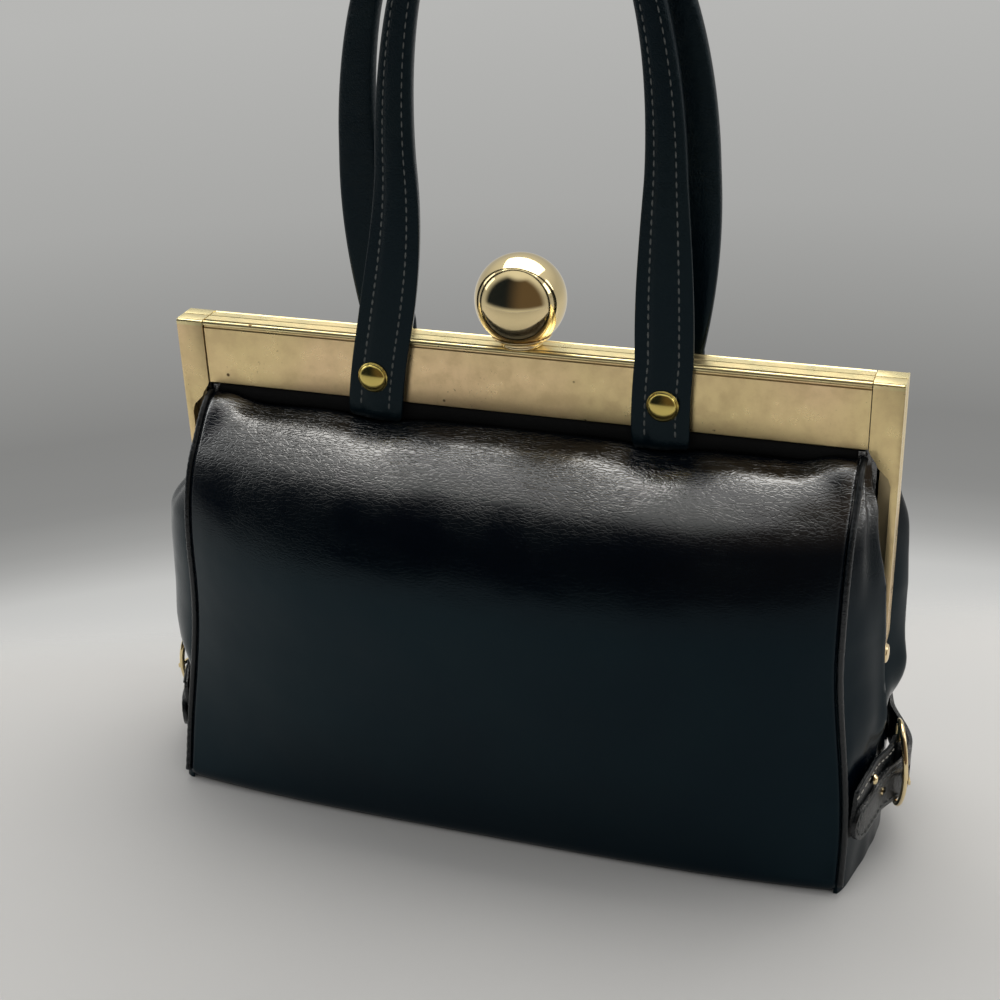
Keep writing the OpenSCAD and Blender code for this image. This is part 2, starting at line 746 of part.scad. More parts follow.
module base_board() {
  color(grey_board) translate([0, 0, floor_z]) linear_extrude(base_board_t) polygon(base_outline(2.2));
}

// Half depth of the gusset, inside the panels
function gusset_y(z) = min(
  wall(v_of(z), 0)[0] - seam_in,
  wall(v_of(min(z + seam_in, shoulder_z - 1.6)), 0)[0] - 0.3);

// Outward place of the gusset: one round bulge below, two lobes beside the frame arms above
function gusset_at(y, z) = let (
    ys = gusset_y(z), q = min(1, abs(y) / ys), xs = seam_x(z) + 0.4,
    w = ease(0, 1, (z - lobe_low) / (lobe_high - lobe_low)),
    arm = half_l - lobe_in, s = min(1, max(0, (abs(y) - lobe_in) / max(1, ys - lobe_in))),
    full = xs + gusset_out * pow(max(0, cos(90 * q)), 0.8),
    lobes = xs + (arm - xs) * (1 - s) + lobe_out * sin(180 * s) * min(1, ys / 38))
  full * (1 - w) + lobes * w;

// Part of the right gusset between two heights and two shares of the depth
module gusset_sheet(z_low, z_high, rows, q_low, q_high, cols, inner_y) {
  z = [for (i = [0:rows]) z_low + (z_high - z_low) * i / rows];
  function place(i, h, sink) = let (ys = gusset_y(h),
      q = q_low + (q_high - q_low) * i / cols,
      y = inner_y > 0 ? inner_y + (ys - inner_y) * q : ys * q)
    [gusset_at(y, h) - sink, -y, h];
  sheet([for (h = z) [for (i = [0:cols]) place(i, h, leather_t)]],
        [for (h = z) [for (i = [0:cols]) place(i, h, 0)]]);
}

module gusset() {
  color(black_leather) gusset_sheet(0.3, gusset_split, 12, -1, 1, 16, 0);
}

// Leather beside the frame arms, which folds as the mouth opens
module gusset_folds() {
  color(black_leather) for (s = [-1, 1]) {
    if (s > 0) gusset_sheet(gusset_split + 0.3, shoulder_z - 5, 12, 0, 1, 9, 1.6);
    else rear() gusset_sheet(gusset_split + 0.3, shoulder_z - 5, 12, 0, 1, 9, 1.6);
  }
}

module right_gusset() {
  gusset();
}

module left_gusset() {
  mirror([1, 0, 0]) gusset();
}

module right_gusset_folds() {
  gusset_folds();
}

module left_gusset_folds() {
  mirror([1, 0, 0]) gusset_folds();
}

module stiffener() {
  color(grey_board)
    wall_sheet(8 / waist_z, v_of(split_z - 4), leather_t + 0.5, board_t, seam_gap_x, 0.9, 10, 18);
}

module front_stiffener() {
  stiffener();
}

module rear_stiffener() {
  rear() stiffener();
}

// Lining: a tub inside the panels, boards and gussets
module lining() {
  n = 18;
  edge = 1.2;
  across = 0.99;
  low = floor_z + base_board_t + 0.3;
  v = [for (i = [0:8]) low / waist_z + (v_of(split_z - 3) - low / waist_z) * i / 8];
  function half_row(b, deep) =
    [for (i = [0:n]) wall_point((2 * i / n - 1) * across, b, lining_in + deep, edge + deep)];
  function loop(b, deep) = let (f = half_row(b, deep))
    concat(f, [for (i = [n:-1:0]) [f[i][0], -f[i][1], f[i][2]]]);
  function level(row, z) = [for (q = row) [q[0], q[1], z]];
  color(lining_cloth) skin(concat(
    [level(loop(v[0], 0), low)],
    [for (i = [1:8]) loop(v[i], 0)],
    [for (i = [8:-1:1]) loop(v[i], lining_t)],
    [level(loop(v[0], lining_t), low + lining_t)]));
}

module inner_pocket() {
  color(lining_cloth) rear() wall_sheet(pocket_low / waist_z, v_of(pocket_high),
    lining_in + lining_t + 0.8, pocket_t, seam_gap_x, 0.58, 8, 10);
}

// Faces that the belt leather lies on, by their place across: the gusset, and the band on it
function on_gusset(y) = gusset_at(y, belt_z - belt_w / 2 - tip_drop - 0.5) + skin_gap;
function on_band(y) = max(on_gusset(y) + belt_t + skin_gap, seam_x(belt_z) + 2 * piping_r + 0.5);

// Inner face of the band up to the buckle bar, and of the strap over the bar and under the front rim
function band_face(y) = ease(on_gusset(y), bar_x - loop_r - belt_t, (y - bar_y + band_run) / band_run);
function strap_face(y) = y < bar_y ? ease(on_band(y), over_bar, (y - bar_y + strap_rise) / strap_rise)
  : ease(over_bar, on_gusset(y), (y - bar_y - 2) / strap_fall);

// Even strip of leather in plan along a line of [x, y] points, thick towards +X
module strip_plan(line, thick) {
  m = len(line) - 1;
  outer = [for (i = [0:m]) let (d = line[min(m, i + 1)] - line[max(0, i - 1)])
    line[i] + thick * [d[1], -d[0]] / norm(d)];
  polygon(concat(line, [for (i = [m:-1:0]) outer[i]]));
}

// Turns a shape drawn in [y, z] into a slab that spans the belt from inside to outside
module side_view() {
  translate([base_x - 10, 0, 0]) rotate([90, 0, 90]) linear_extrude(40) children();
}

// Places its children on the buckle bar of the right belt, turned as the buckle is
module on_bar() {
  translate([bar_x, bar_y, 0]) rotate([0, 0, buckle_tilt]) children();
}

module belt_band() {
  high = band_high - 4;
  loop_h = buckle_h / 2 - wire_d - 5;
  n = 20;
  start = -gusset_y(band_low) - 1;
  color(black_leather) intersection() {
    difference() {
      union() {
        translate([0, 0, band_low - 1]) linear_extrude(band_w + 2) strip_plan(
          [for (i = [0:n]) let (y = start + (bar_y + 0.4 - start) * i / n) [band_face(y), y]], belt_t);
        translate([bar_x, bar_y, band_low - 1]) cylinder(h = band_w + 2, r = loop_r + belt_t);
      }
      translate([bar_x, bar_y, band_low - 2]) cylinder(h = band_w + 4, r = loop_r);
      on_bar() block([-loop_r - 3 * belt_t, -3.2, strap_z - prong_w / 2 - 0.5],
                     [loop_r + 3 * belt_t, 3.2, strap_z + prong_w / 2 + 0.5]);
    }
    side_view() polygon(concat(
      [for (i = [5:-1:0]) let (z = band_low + (high - band_low) * i / 5) [0.2 - gusset_y(z), z]],
      [[bar_y - 8, band_low], [bar_y - 4, belt_z - loop_h], [bar_y + 8, belt_z - loop_h],
       [bar_y + 8, belt_z + loop_h], [bar_y - 4, belt_z + loop_h],
       [bar_y - 11, band_high - 1], [bar_y - 20, band_high], [bar_y - 29, band_high - 1.6]]));
  }
}

module right_belt_band() {
  belt_band();
}

module left_belt_band() {
  mirror([1, 0, 0]) belt_band();
}

// Strap from the rear seam over the rear rim and the bar, under the front rim and down to its round tip
module belt_strap() {
  r = belt_w / 2 - 1;
  tip = -gusset_y(belt_z) - 2.5;
  back = gusset_y(belt_z) - 1.5;
  tip_z = strap_z - tip_drop;
  n = 46;
  color(black_leather) intersection() {
    difference() {
      translate([0, 0, tip_z - belt_w]) linear_extrude(3 * belt_w) strip_plan(
        [for (i = [0:n]) let (y = tip - 1 + (back + 1 - tip) * i / n) [strap_face(y), y]], belt_t);
      on_bar() block([-3, -7.6, strap_z - prong_w / 2 - 0.6], [8, -0.6, strap_z + prong_w / 2 + 0.6]);
      translate([base_x, eyelet_y, eyelet_z]) rotate([0, 90, 0]) cylinder(h = 40, d = eyelet_d + 0.2);
    }
    side_view() union() {
      translate([tip + r, tip_z]) circle(r = r);
      polygon([[tip + r, tip_z + r], [tip + r, tip_z - r], [bar_y, strap_z - belt_w / 2],
               [back, strap_z - belt_w / 2 + 2], [back - 1, strap_z + belt_w / 2 + 2],
               [bar_y, strap_z + belt_w / 2]]);
    }
  }
}

module right_belt_strap() {
  belt_strap();
}

module left_belt_strap() {
  mirror([1, 0, 0]) belt_strap();
}

// Oval ring with its sides bowed outwards and a straight bar across its middle
module buckle() {
  n = 40;
  function ring_pt(i) = let (p = 360 * i / n)
    [buckle_bow * cos(90 * sin(p)), ring_a * cos(p), belt_z + ring_b * sin(p)];
  color(polished_gold) on_bar() union() {
    ring_sweep([for (i = [0:n - 1]) ring_pt(i)], wire_d / 2, 10);
    translate([0, 0, belt_z - ring_b + 0.2]) cylinder(h = 2 * ring_b - 0.4, d = wire_d);
  }
}

// Closed loop of round wire
module ring_sweep(path, r, sides) {
  n = len(path);
  rings = [for (i = [0:n - 1]) let (d = path[(i + 1) % n] - path[(i + n - 1) % n], u = d / norm(d),
      side = cross(u, [1, 0, 0]) / norm(cross(u, [1, 0, 0])), up = cross(side, u))
    [for (k = [0:sides - 1]) path[i] + r * (cos(360 * k / sides) * side + sin(360 * k / sides) * up)]];
  points = [for (q = rings) each q];
  faces = [for (i = [0:n - 1], k = [0:sides - 1]) let (j = (i + 1) % n, l = (k + 1) % sides) each
    [[i * sides + k, i * sides + l, j * sides + l], [i * sides + k, j * sides + l, j * sides + k]]];
  polyhedron(points, faces, 6);
}

module right_buckle() {
  buckle();
}

module left_buckle() {
  mirror([1, 0, 0]) buckle();
}

// Prong round the bar, through the strap and onto the front of the ring
module prong() {
  hub = wire_d / 2 + 0.05;
  rest = buckle_bow + wire_d / 2 + 0.05;
  color(polished_gold) on_bar() translate([0, 0, strap_z - prong_w / 2]) difference() {
    union() {
      cylinder(h = prong_w, r = hub + prong_t);
      linear_extrude(prong_w)
        polygon([[hub + 0.1, 0.2], [hub + prong_t - 0.1, 0.2], [rest + prong_t, -ring_a / 2],
                 [rest + prong_t, -ring_a - 0.4], [rest, -ring_a - 0.4], [rest, -ring_a / 2]]);
    }
    translate([0, 0, -1]) cylinder(h = prong_w + 2, r = hub);
  }
}

module right_buckle_prong() {
  prong();
}

module left_buckle_prong() {
  mirror([1, 0, 0]) prong();
}

// Small domed rivet on the upper part of the band
module belt_rivet() {
  color(polished_gold) translate([band_face(rivet_y) + belt_t + 0.6, rivet_y, band_high - 5.5])
    rotate([0, 90, 0]) rotate_extrude()
      polygon([[0, 0], [2.1, 0], [2, 0.5], [1.5, 1.1], [0.8, 1.4], [0, 1.5]]);
}

module right_belt_rivet() {
  belt_rivet();
}

module left_belt_rivet() {
  mirror([1, 0, 0]) belt_rivet();
}

// Brass eyelet in the spare hole of each strap
module belt_eyelets() {
  color(polished_gold) both_ends() translate([strap_face(eyelet_y) + 0.25, eyelet_y, eyelet_z])
    rotate([0, 90, 0]) difference() {
      cylinder(h = belt_t, d = eyelet_d);
      translate([0, 0, -1]) cylinder(h = belt_t + 2, d = eyelet_d - 0.9);
    }
}

front_frame();
rear_frame();
front_plate();
rear_plate();
front_left_arm_cover();
front_right_arm_cover();
rear_left_arm_cover();
rear_right_arm_cover();
hinge_rivets();
hinge_washers();
clasp_ball();
clasp_cup();
clasp_stud();
catch_spring();
catch_rivets();
front_handle();
rear_handle();
front_handle_ends();
rear_handle_ends();
front_handle_rivets();
rear_handle_rivets();
front_rivet_washers();
rear_rivet_washers();
front_binding();
rear_binding();
front_facing();
rear_facing();
front_shoulder();
rear_shoulder();
front_upper_piping();
rear_upper_piping();
front_panel();
rear_panel();
front_piping();
rear_piping();
base_panel();
base_board();
left_gusset();
right_gusset();
left_gusset_folds();
right_gusset_folds();
front_stiffener();
rear_stiffener();
lining();
inner_pocket();
left_belt_band();
right_belt_band();
left_belt_strap();
right_belt_strap();
left_buckle();
right_buckle();
left_buckle_prong();
right_buckle_prong();
left_belt_rivet();
right_belt_rivet();
belt_eyelets();
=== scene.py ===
# %% [markdown]
# # A structured frame handbag
# The bag is a black leather body that hangs in a plated metal frame. The frame's two halves turn
# on a rivet at each end of the mouth, a large ball stands on the seam between them, and two strap
# handles are riveted to the face plates. The CAD model gives every rigid part its place. This
# script dresses it: the soft parts are built again as real leather and cloth, and the metal gets
# its plating and its wear.

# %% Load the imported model
import math
import bmesh
import bpy
from mathutils import Matrix, Vector, noise


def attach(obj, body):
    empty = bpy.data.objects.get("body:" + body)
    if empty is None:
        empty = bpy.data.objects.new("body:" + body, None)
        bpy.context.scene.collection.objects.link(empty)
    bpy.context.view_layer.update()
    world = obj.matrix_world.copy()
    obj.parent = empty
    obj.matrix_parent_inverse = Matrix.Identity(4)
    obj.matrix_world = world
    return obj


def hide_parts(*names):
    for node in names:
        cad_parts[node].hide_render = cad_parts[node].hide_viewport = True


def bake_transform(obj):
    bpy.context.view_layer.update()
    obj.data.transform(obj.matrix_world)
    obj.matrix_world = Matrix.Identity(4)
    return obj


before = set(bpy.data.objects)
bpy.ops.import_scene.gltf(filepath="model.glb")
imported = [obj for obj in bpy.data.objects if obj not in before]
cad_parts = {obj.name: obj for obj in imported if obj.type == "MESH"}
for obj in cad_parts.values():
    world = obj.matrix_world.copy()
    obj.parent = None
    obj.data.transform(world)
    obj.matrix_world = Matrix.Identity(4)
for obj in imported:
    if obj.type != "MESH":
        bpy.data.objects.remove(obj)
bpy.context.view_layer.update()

# %% [markdown]
# ## Sizes
# The CAD model is drawn in millimetres and Blender works in metres. The sizes below are in
# millimetres too, most of them the CAD's own, and one helper turns finished points into metres.
# Where the photograph asks for a slightly other form, as in the gussets and the handles, the
# numbers stand in their own cells.

# %% Sizes of the bag
MM = 0.001
HALVES = (("front", "front_half"), ("rear", "rear_half"))
frame_z, half_l, hinge_z = 186.0, 140.0, 75.0
plate_x, facing_y = 128.6, 3.25
base_x, side_taper, taper_low, taper_high = 133.0, 6.5, 15.0, 95.0
base_y, waist_y, waist_z, crown = 54.0, 40.2, 80.0, 18.5
shoulder_z, side_drop, top_y, rise_power = 151.0, 1.5, 5.5, 0.62
leather_t, lining_t, board_t, lining_in = 1.4, 0.8, 1.2, 3.45
gusset_out, lobe_out, gusset_split, seam_in, piping_r = 9.6, 12.0, 69.0, 2.5, 1.2
foot_v, panel_top, edge_in = 5 / waist_z, 1.985, 0.3
arm_in, arm_out, arm_lean = 131.2, 135.4, 0.108
print("mouth", 2 * half_l, "mm long, hinges at", hinge_z, "mm")

# %% [markdown]
# ## The shape of the body
# Leather over a frame has no flat faces, so the body is a formula. Going up the wall, `v` runs
# from 0 at the floor to 1 at the waist and to 2 where the leather turns in under the frame. Going
# across, `m` is 0 on the side seam and 1 in the middle of the panel, where the wall stands out
# furthest.

# %% Curves of the body
def clamp(x, low=0.0, high=1.0):
    return min(high, max(low, x))

def soft(low, high, x):
    c = clamp((x - low) / (high - low))
    return c * c * (3 - 2 * c)

def seam_x(z):
    return base_x - side_taper * soft(taper_low, taper_high, z)

def wall(v, m):
    if v <= 1:
        low = (1 - v) ** 2.2
        return waist_y + (base_y - waist_y) * low + m * (crown - (crown - 3) * low), waist_z * v
    a = math.radians(90 * (v - 1))
    reach = waist_y + m * crown - top_y
    rise = shoulder_z - side_drop + side_drop * m - waist_z
    return (top_y + reach * max(0, math.cos(a)) ** 0.95,
            waist_z + rise * math.sin(a) ** rise_power)

def v_of(z):
    if z <= waist_z:
        return z / waist_z
    share = min(1, (z - waist_z) / (shoulder_z - side_drop - waist_z))
    return 1 + math.degrees(math.asin(share ** (1 / rise_power))) / 90

def crown_at(t):
    return 1 - abs(t) ** 3.4

def wall_normal(v, m):
    a, b = wall(max(0, v - 0.01), m), wall(min(1.995, v + 0.01), m)
    d = (b[0] - a[0], b[1] - a[1])
    n = math.hypot(*d)
    return d[1] / n, -d[0] / n

def wall_point(t, v, sink, edge):
    m = crown_at(t)
    p, n = wall(v, m), wall_normal(v, m)
    return t * (seam_x(p[1]) - edge), -(p[0] - sink * n[0]), p[1] - sink * n[1]

def gusset_y(z):
    low, high = v_of(z), v_of(min(z + seam_in, shoulder_z - 1.6))
    return min(wall(low, 0)[0] - seam_in, wall(high, 0)[0] - 0.3)

def gusset_at(y, z, bulge=lobe_out, low=gusset_out, hug=0.0, power=1.0):
    ys = gusset_y(z)
    xs = seam_x(z) + 0.4
    w = soft(42, gusset_split - 4, z)
    arm = clamp(arm_in + arm_lean * (135 - z), arm_in, arm_out)
    s = clamp((abs(y) - 5) / max(1, ys - 5))
    h = hug * soft(112, 140, z)
    across = math.cos(math.radians(90 * min(1, abs(y) / ys)))
    full = xs + low * max(0, across) ** (0.8 * power)
    lobe = bulge * (1 - h) * max(0, math.sin(math.pi * s)) ** power * min(1, ys / 38)
    lobes = xs + (arm - xs) * (1 - s) ** (1 + 3 * h) + lobe
    return full * (1 - w) + lobes * w

print("body at the floor", 2 * seam_x(0), "by", round(2 * wall(0, 1)[0], 1), "mm")

# %% [markdown]
# ## Helpers that make meshes
# Nearly every soft part is one of three things: a sheet with a thickness, a tube along a path, or
# a turned shape.

# %% Helper: a mesh from points
def in_metres(points, mirror_x=False, mirror_y=False):
    sx, sy = (-MM if mirror_x else MM), (-MM if mirror_y else MM)
    return [(sx * x, sy * y, MM * z) for x, y, z in points]

def add_object(name, data):
    obj = bpy.data.objects.new(name, data)
    bpy.context.collection.objects.link(obj)
    return obj

def add_mesh(name, points, faces, material, **mirrored):
    mesh = bpy.data.meshes.new(name)
    mesh.from_pydata(in_metres(points, **mirrored), [], faces)
    bm = bmesh.new()
    bm.from_mesh(mesh)
    bmesh.ops.remove_doubles(bm, verts=bm.verts, dist=1e-6)
    bmesh.ops.recalc_face_normals(bm, faces=bm.faces)
    for face in bm.faces:
        face.smooth = True
    bm.to_mesh(mesh)
    bm.free()
    mesh.materials.append(material)
    return add_object(name, mesh)

# %% Helper: a sheet with two faces and a closed rim
def sheet_faces(rows, cols):
    half = rows * cols
    at = lambda r, c: r * cols + c
    faces = []
    for r in range(rows - 1):
        for c in range(cols - 1):
            q = (at(r, c), at(r, c + 1), at(r + 1, c + 1), at(r + 1, c))
            faces.append(q)
            faces.append(tuple(half + i for i in reversed(q)))
    for c in range(cols - 1):
        for r in (0, rows - 1):
            faces.append((at(r, c), at(r, c + 1), half + at(r, c + 1), half + at(r, c)))
    for r in range(rows - 1):
        for c in (0, cols - 1):
            faces.append((at(r, c), at(r + 1, c), half + at(r + 1, c), half + at(r, c)))
    return faces

def grid_of(rows, cols, point):
    return [[point(r / rows, c / cols) for c in range(cols + 1)] for r in range(rows + 1)]

def sheet(name, outer, inner, material, **mirrored):
    points = [p for row in outer for p in row] + [p for row in inner for p in row]
    faces = sheet_faces(len(outer), len(outer[0]))
    return add_mesh(name, points, faces, material, **mirrored)

# %% Helper: a tube through rings of points
def tube_parts(rings, closed=False):
    n, k = len(rings[0]), len(rings)
    points = [p for ring in rings for p in ring]
    faces = []
    for r in range(k if closed else k - 1):
        s = (r + 1) % k
        for i in range(n):
            j = (i + 1) % n
            faces.append((r * n + i, s * n + i, s * n + j, r * n + j))
    if not closed:
        faces.append(tuple(range(n)))
        faces.append(tuple(range((k - 1) * n, k * n)))
    return points, faces

def joined(parts):
    points, faces = [], []
    for p, f in parts:
        base = len(points)
        points += p
        faces += [tuple(base + i for i in q) for q in f]
    return points, faces

# %% Helper: a turned shape
def circle(radius, sides):
    angles = [2 * math.pi * k / sides for k in range(sides)]
    return [(radius * math.cos(a), radius * math.sin(a)) for a in angles]

def turned(profile, steps, place):
    return tube_parts([[tuple(place @ Vector((x, y, height))) for x, y in circle(radius, steps)]
                       for radius, height in profile])

# %% Helper: finish modifiers into the mesh
def baked(obj):
    graph = bpy.context.evaluated_depsgraph_get()
    mesh = bpy.data.meshes.new_from_object(obj.evaluated_get(graph), depsgraph=graph)
    obj.modifiers.clear()
    obj.data = mesh
    return obj

def crisp(obj, degrees):
    obj.data.set_sharp_from_angle(angle=math.radians(degrees))
    return obj

def report(obj):
    print(f"{obj.name}: {len(obj.data.polygons)} faces")
    return obj

# %% [markdown]
# ## Shared effects
# Three effects are node groups that are built once: the fine crease grain of worn leather, the
# bloom and specks of old plating, and the twill of lining cloth. A group only gives out masks and
# heights. Every material keeps its own shader.

# %% Helper: node trees
def set_up(tree, made, **values):
    for key, value in values.items():
        title = key.replace("_", " ")
        if title not in made.inputs:
            setattr(made, key, value)
        elif hasattr(value, "is_linked"):
            tree.links.new(value, made.inputs[title])
        else:
            made.inputs[title].default_value = value
    return made

def node(tree, kind, **values):
    return set_up(tree, tree.nodes.new("ShaderNode" + kind), **values)

def new_group(name, sizes, results):
    group = bpy.data.node_groups.new(name, "ShaderNodeTree")
    face = group.interface
    face.new_socket("Vector", in_out="INPUT", socket_type="NodeSocketVector")
    for title, size in sizes.items():
        socket = face.new_socket(title, in_out="INPUT", socket_type="NodeSocketFloat")
        socket.default_value = size
    for title in results:
        face.new_socket(title, in_out="OUTPUT", socket_type="NodeSocketFloat")
    start, end = group.nodes.new("NodeGroupInput"), group.nodes.new("NodeGroupOutput")
    return group, start.outputs, end

def math_node(tree, operation, a, b, kind="Math", **values):
    made = node(tree, kind, operation=operation, **values)
    for socket, value in zip(made.inputs, (a, b)):
        if hasattr(value, "is_linked"):
            tree.links.new(value, socket)
        else:
            socket.default_value = value
    return made.outputs[0]

def span(tree, value, low, high, out_low=0.0, out_high=1.0):
    return node(tree, "MapRange", interpolation_type="SMOOTHSTEP", Value=value, From_Min=low,
                From_Max=high, To_Min=out_low, To_Max=out_high).outputs["Result"]

def mottle(tree, vector, scale, detail, roughness=0.5):
    return node(tree, "TexNoise", Vector=vector, Scale=scale, Detail=detail,
                Roughness=roughness).outputs

def cells(tree, vector, scale, feature="F1"):
    made = node(tree, "TexVoronoi", feature=feature, Vector=vector, Scale=scale)
    return made.outputs["Distance"]

# %% Effect: crease grain of leather
def make_leather_grain():
    sizes = {"Crease size": 420.0, "Pore size": 1400.0, "Stretch": 0.6}
    g, given, end = new_group("Leather grain", sizes, ("Creases", "Pores", "Patches"))
    stretch = node(g, "CombineXYZ", X=given["Stretch"], Y=1.0, Z=1.0).outputs[0]
    drawn = math_node(g, "MULTIPLY", given["Vector"], stretch, "VectorMath")
    warp = mottle(g, drawn, 140.0, 3.0, 0.6)["Color"]
    bend = node(g, "VectorMath", operation="SCALE", Vector=warp, Scale=0.006).outputs[0]
    moved = math_node(g, "ADD", drawn, bend, "VectorMath")
    cracks = cells(g, moved, given["Crease size"], "DISTANCE_TO_EDGE")
    set_up(g, end, Creases=span(g, cracks, 0.0, 0.16), Pores=cells(g, moved, given["Pore size"]),
           Patches=span(g, mottle(g, given["Vector"], 22.0, 4.0, 0.55)["Fac"], 0.38, 0.66))
    return g

leather_grain = make_leather_grain()
print("group:", leather_grain.name)

# %% Effect: bloom and specks of old plating
def make_plating_wear():
    g, given, end = new_group("Plating wear", {"Amount": 1.0},
                              ("Bloom", "Specks", "Haze", "Scratches"))
    where = given["Vector"]
    spots = span(g, mottle(g, where, 900.0, 5.0, 0.65)["Fac"], 0.62, 0.72)
    patch = span(g, mottle(g, where, 45.0, 4.0, 0.65)["Fac"], 0.54, 0.68)
    dot = span(g, cells(g, where, 70.0), 0.06, 0.03)
    total = math_node(g, "MAXIMUM", math_node(g, "MULTIPLY", spots, patch), dot)
    long_way = math_node(g, "MULTIPLY", where, (1.0, 1.0, 9.0), "VectorMath")
    set_up(g, end, Bloom=span(g, mottle(g, where, 16.0, 3.0)["Fac"], 0.36, 0.64),
           Specks=math_node(g, "MULTIPLY", total, given["Amount"]),
           Haze=mottle(g, where, 110.0, 6.0, 0.7)["Fac"],
           Scratches=mottle(g, long_way, 260.0, 5.0, 0.8)["Fac"])
    return g

plating_wear = make_plating_wear()
print("group:", plating_wear.name)

# %% Effect: twill of lining cloth
def make_twill():
    g, given, end = new_group("Cloth twill", {"Threads per metre": 2200.0}, ("Height", "Fuzz"))
    dense = math_node(g, "MULTIPLY", given["Threads per metre"], 0.16)
    scaled = node(g, "VectorMath", operation="SCALE", Vector=given["Vector"], Scale=dense)
    slant = node(g, "TexWave", wave_type="BANDS", bands_direction="DIAGONAL",
                 Vector=scaled.outputs[0], Scale=1.0)
    set_up(g, end, Height=slant.outputs["Fac"], Fuzz=mottle(g, given["Vector"], 1500.0, 3.0)["Fac"])
    return g

cloth_twill = make_twill()
print("group:", cloth_twill.name)

# %% [markdown]
# ## Finishes
# The leather is a smooth black coated hide with a blue-green cast. Its colour is almost nothing
# but reflection, so the work is in the bump and the coat: tight creases over the shoulder, where
# the hide is stretched round, a soft broad waviness everywhere, and a polish above the shoulder's
# bend. Some light is painted in: the polish is kept to the top of the shoulder so that the
# highlight band falls there, the reflection is tinted warm there as a painted highlight colour, and
# it grows weaker towards the right end as painted shade. Constants sit on the shader's own sockets,
# and only what changes over the surface comes through links.

# %% Helper: a material
def new_material(name, **values):
    material = bpy.data.materials.new(name)
    material.use_nodes = True
    tree = material.node_tree
    shader = set_up(tree, tree.nodes["Principled BSDF"], **values)
    return material, tree, shader, node(tree, "TexCoord").outputs["Object"]

def use_group(tree, group, vector, **values):
    made = node(tree, "Group", node_tree=group)
    return set_up(tree, made, Vector=vector, **values).outputs

def mix_colour(tree, factor, a, b):
    made = node(tree, "Mix", data_type="RGBA")
    tree.links.new(factor, made.inputs[0])
    for k, value in ((6, a), (7, b)):
        if hasattr(value, "is_linked"):
            tree.links.new(value, made.inputs[k])
        else:
            made.inputs[k].default_value = (*value, 1)
    return made.outputs[2]

def bump(tree, height, depth, strength, **under):
    made = node(tree, "Bump", Strength=strength, Distance=depth, Height=height, **under)
    return made.outputs["Normal"]

def grain_height(tree, grain, crease_share, pore_share):
    crease = math_node(tree, "SUBTRACT", grain["Creases"], 1.0)
    return math_node(tree, "ADD", math_node(tree, "MULTIPLY", crease, crease_share),
                     math_node(tree, "MULTIPLY", grain["Pores"], pore_share))

# %% Leather of the body
def body_leather():
    m, t, shader, where = new_material("black_hide", Coat_IOR=2.3)
    grain = use_group(t, leather_grain, where, Crease_size=760.0, Pore_size=2400.0, Stretch=0.42)
    place = node(t, "SeparateXYZ", Vector=where).outputs
    over = span(t, place["Z"], 0.095, 0.148)
    patchy = span(t, grain["Patches"], 0.0, 1.0, 0.45, 1.0)
    worn = math_node(t, "MULTIPLY", math_node(t, "ADD", over, 0.12), patchy)
    wavy = bump(t, mottle(t, where, 34.0, 2.0)["Fac"], 0.0012, 0.5)
    grained = bump(t, grain_height(t, grain, worn, 0.25), 0.00007, 0.8, Normal=wavy)
    set_up(t, shader, Normal=grained, Coat_Normal=grained,
           Base_Color=mix_colour(t, grain["Patches"], (0.0002, 0.0015, 0.0042),
                                 (0.0008, 0.0030, 0.0056)),
           # Painted shade: the reflection is made weaker from the left end to the right end, so the
           # right side of the panel reads darker.
           Specular_IOR_Level=span(t, place["X"], -0.14, 0.13, 0.34, 0.21),
           # Painted highlight colour: the reflection is tinted warm above the shoulder's bend,
           # where the highlight band falls, and blue-green, the hide's cast, below it.
           Specular_Tint=mix_colour(t, over, (0.48, 0.84, 1.0), (1.0, 0.97, 0.92)),
           Roughness=span(t, worn, 0.0, 1.0, 0.20, 0.34),
           # Partly painted highlight: the coat is real polish, but it is kept to the top of the
           # shoulder so that the bright band falls there and the wall below stays dark.
           Coat_Weight=span(t, place["Z"], 0.131, 0.149),
           Coat_Roughness=span(t, grain["Patches"], 0.0, 1.0, 0.16, 0.24))
    return m

black_hide = body_leather()
print("made", black_hide.name)

# %% Leather of the straps
def strap_leather():
    m, t, shader, where = new_material("strap_hide", Specular_IOR_Level=0.19,
                                       Specular_Tint=(0.66, 0.90, 1.0, 1))
    grain = use_group(t, leather_grain, where, Crease_size=900.0, Pore_size=2600.0, Stretch=1.0)
    gripped = span(t, node(t, "SeparateXYZ", Vector=where).outputs["Z"], 0.200, 0.270)
    height = grain_height(t, grain, math_node(t, "ADD", gripped, 0.15), 0.25)
    set_up(t, shader, Normal=bump(t, height, 0.00008, 0.8),
           Base_Color=mix_colour(t, grain["Patches"], (0.0010, 0.0040, 0.0070),
                                 (0.0022, 0.0058, 0.0080)),
           Roughness=span(t, gripped, 0.0, 1.0, 0.17, 0.28))
    return m

strap_hide = strap_leather()
print("made", strap_hide.name)

# %% Leather of the belts, the piping and the facings
def small_leather(name, level, crease_size, pore_size, shares, depth, strength, tones, rough):
    m, t, shader, where = new_material(name, Specular_IOR_Level=level)
    grain = use_group(t, leather_grain, where, Crease_size=crease_size, Pore_size=pore_size,
                      Stretch=1.0)
    set_up(t, shader, Normal=bump(t, grain_height(t, grain, *shares), depth, strength),
           Base_Color=mix_colour(t, grain["Patches"], *tones),
           Roughness=span(t, grain["Patches"], 0.0, 1.0, *rough))
    return m

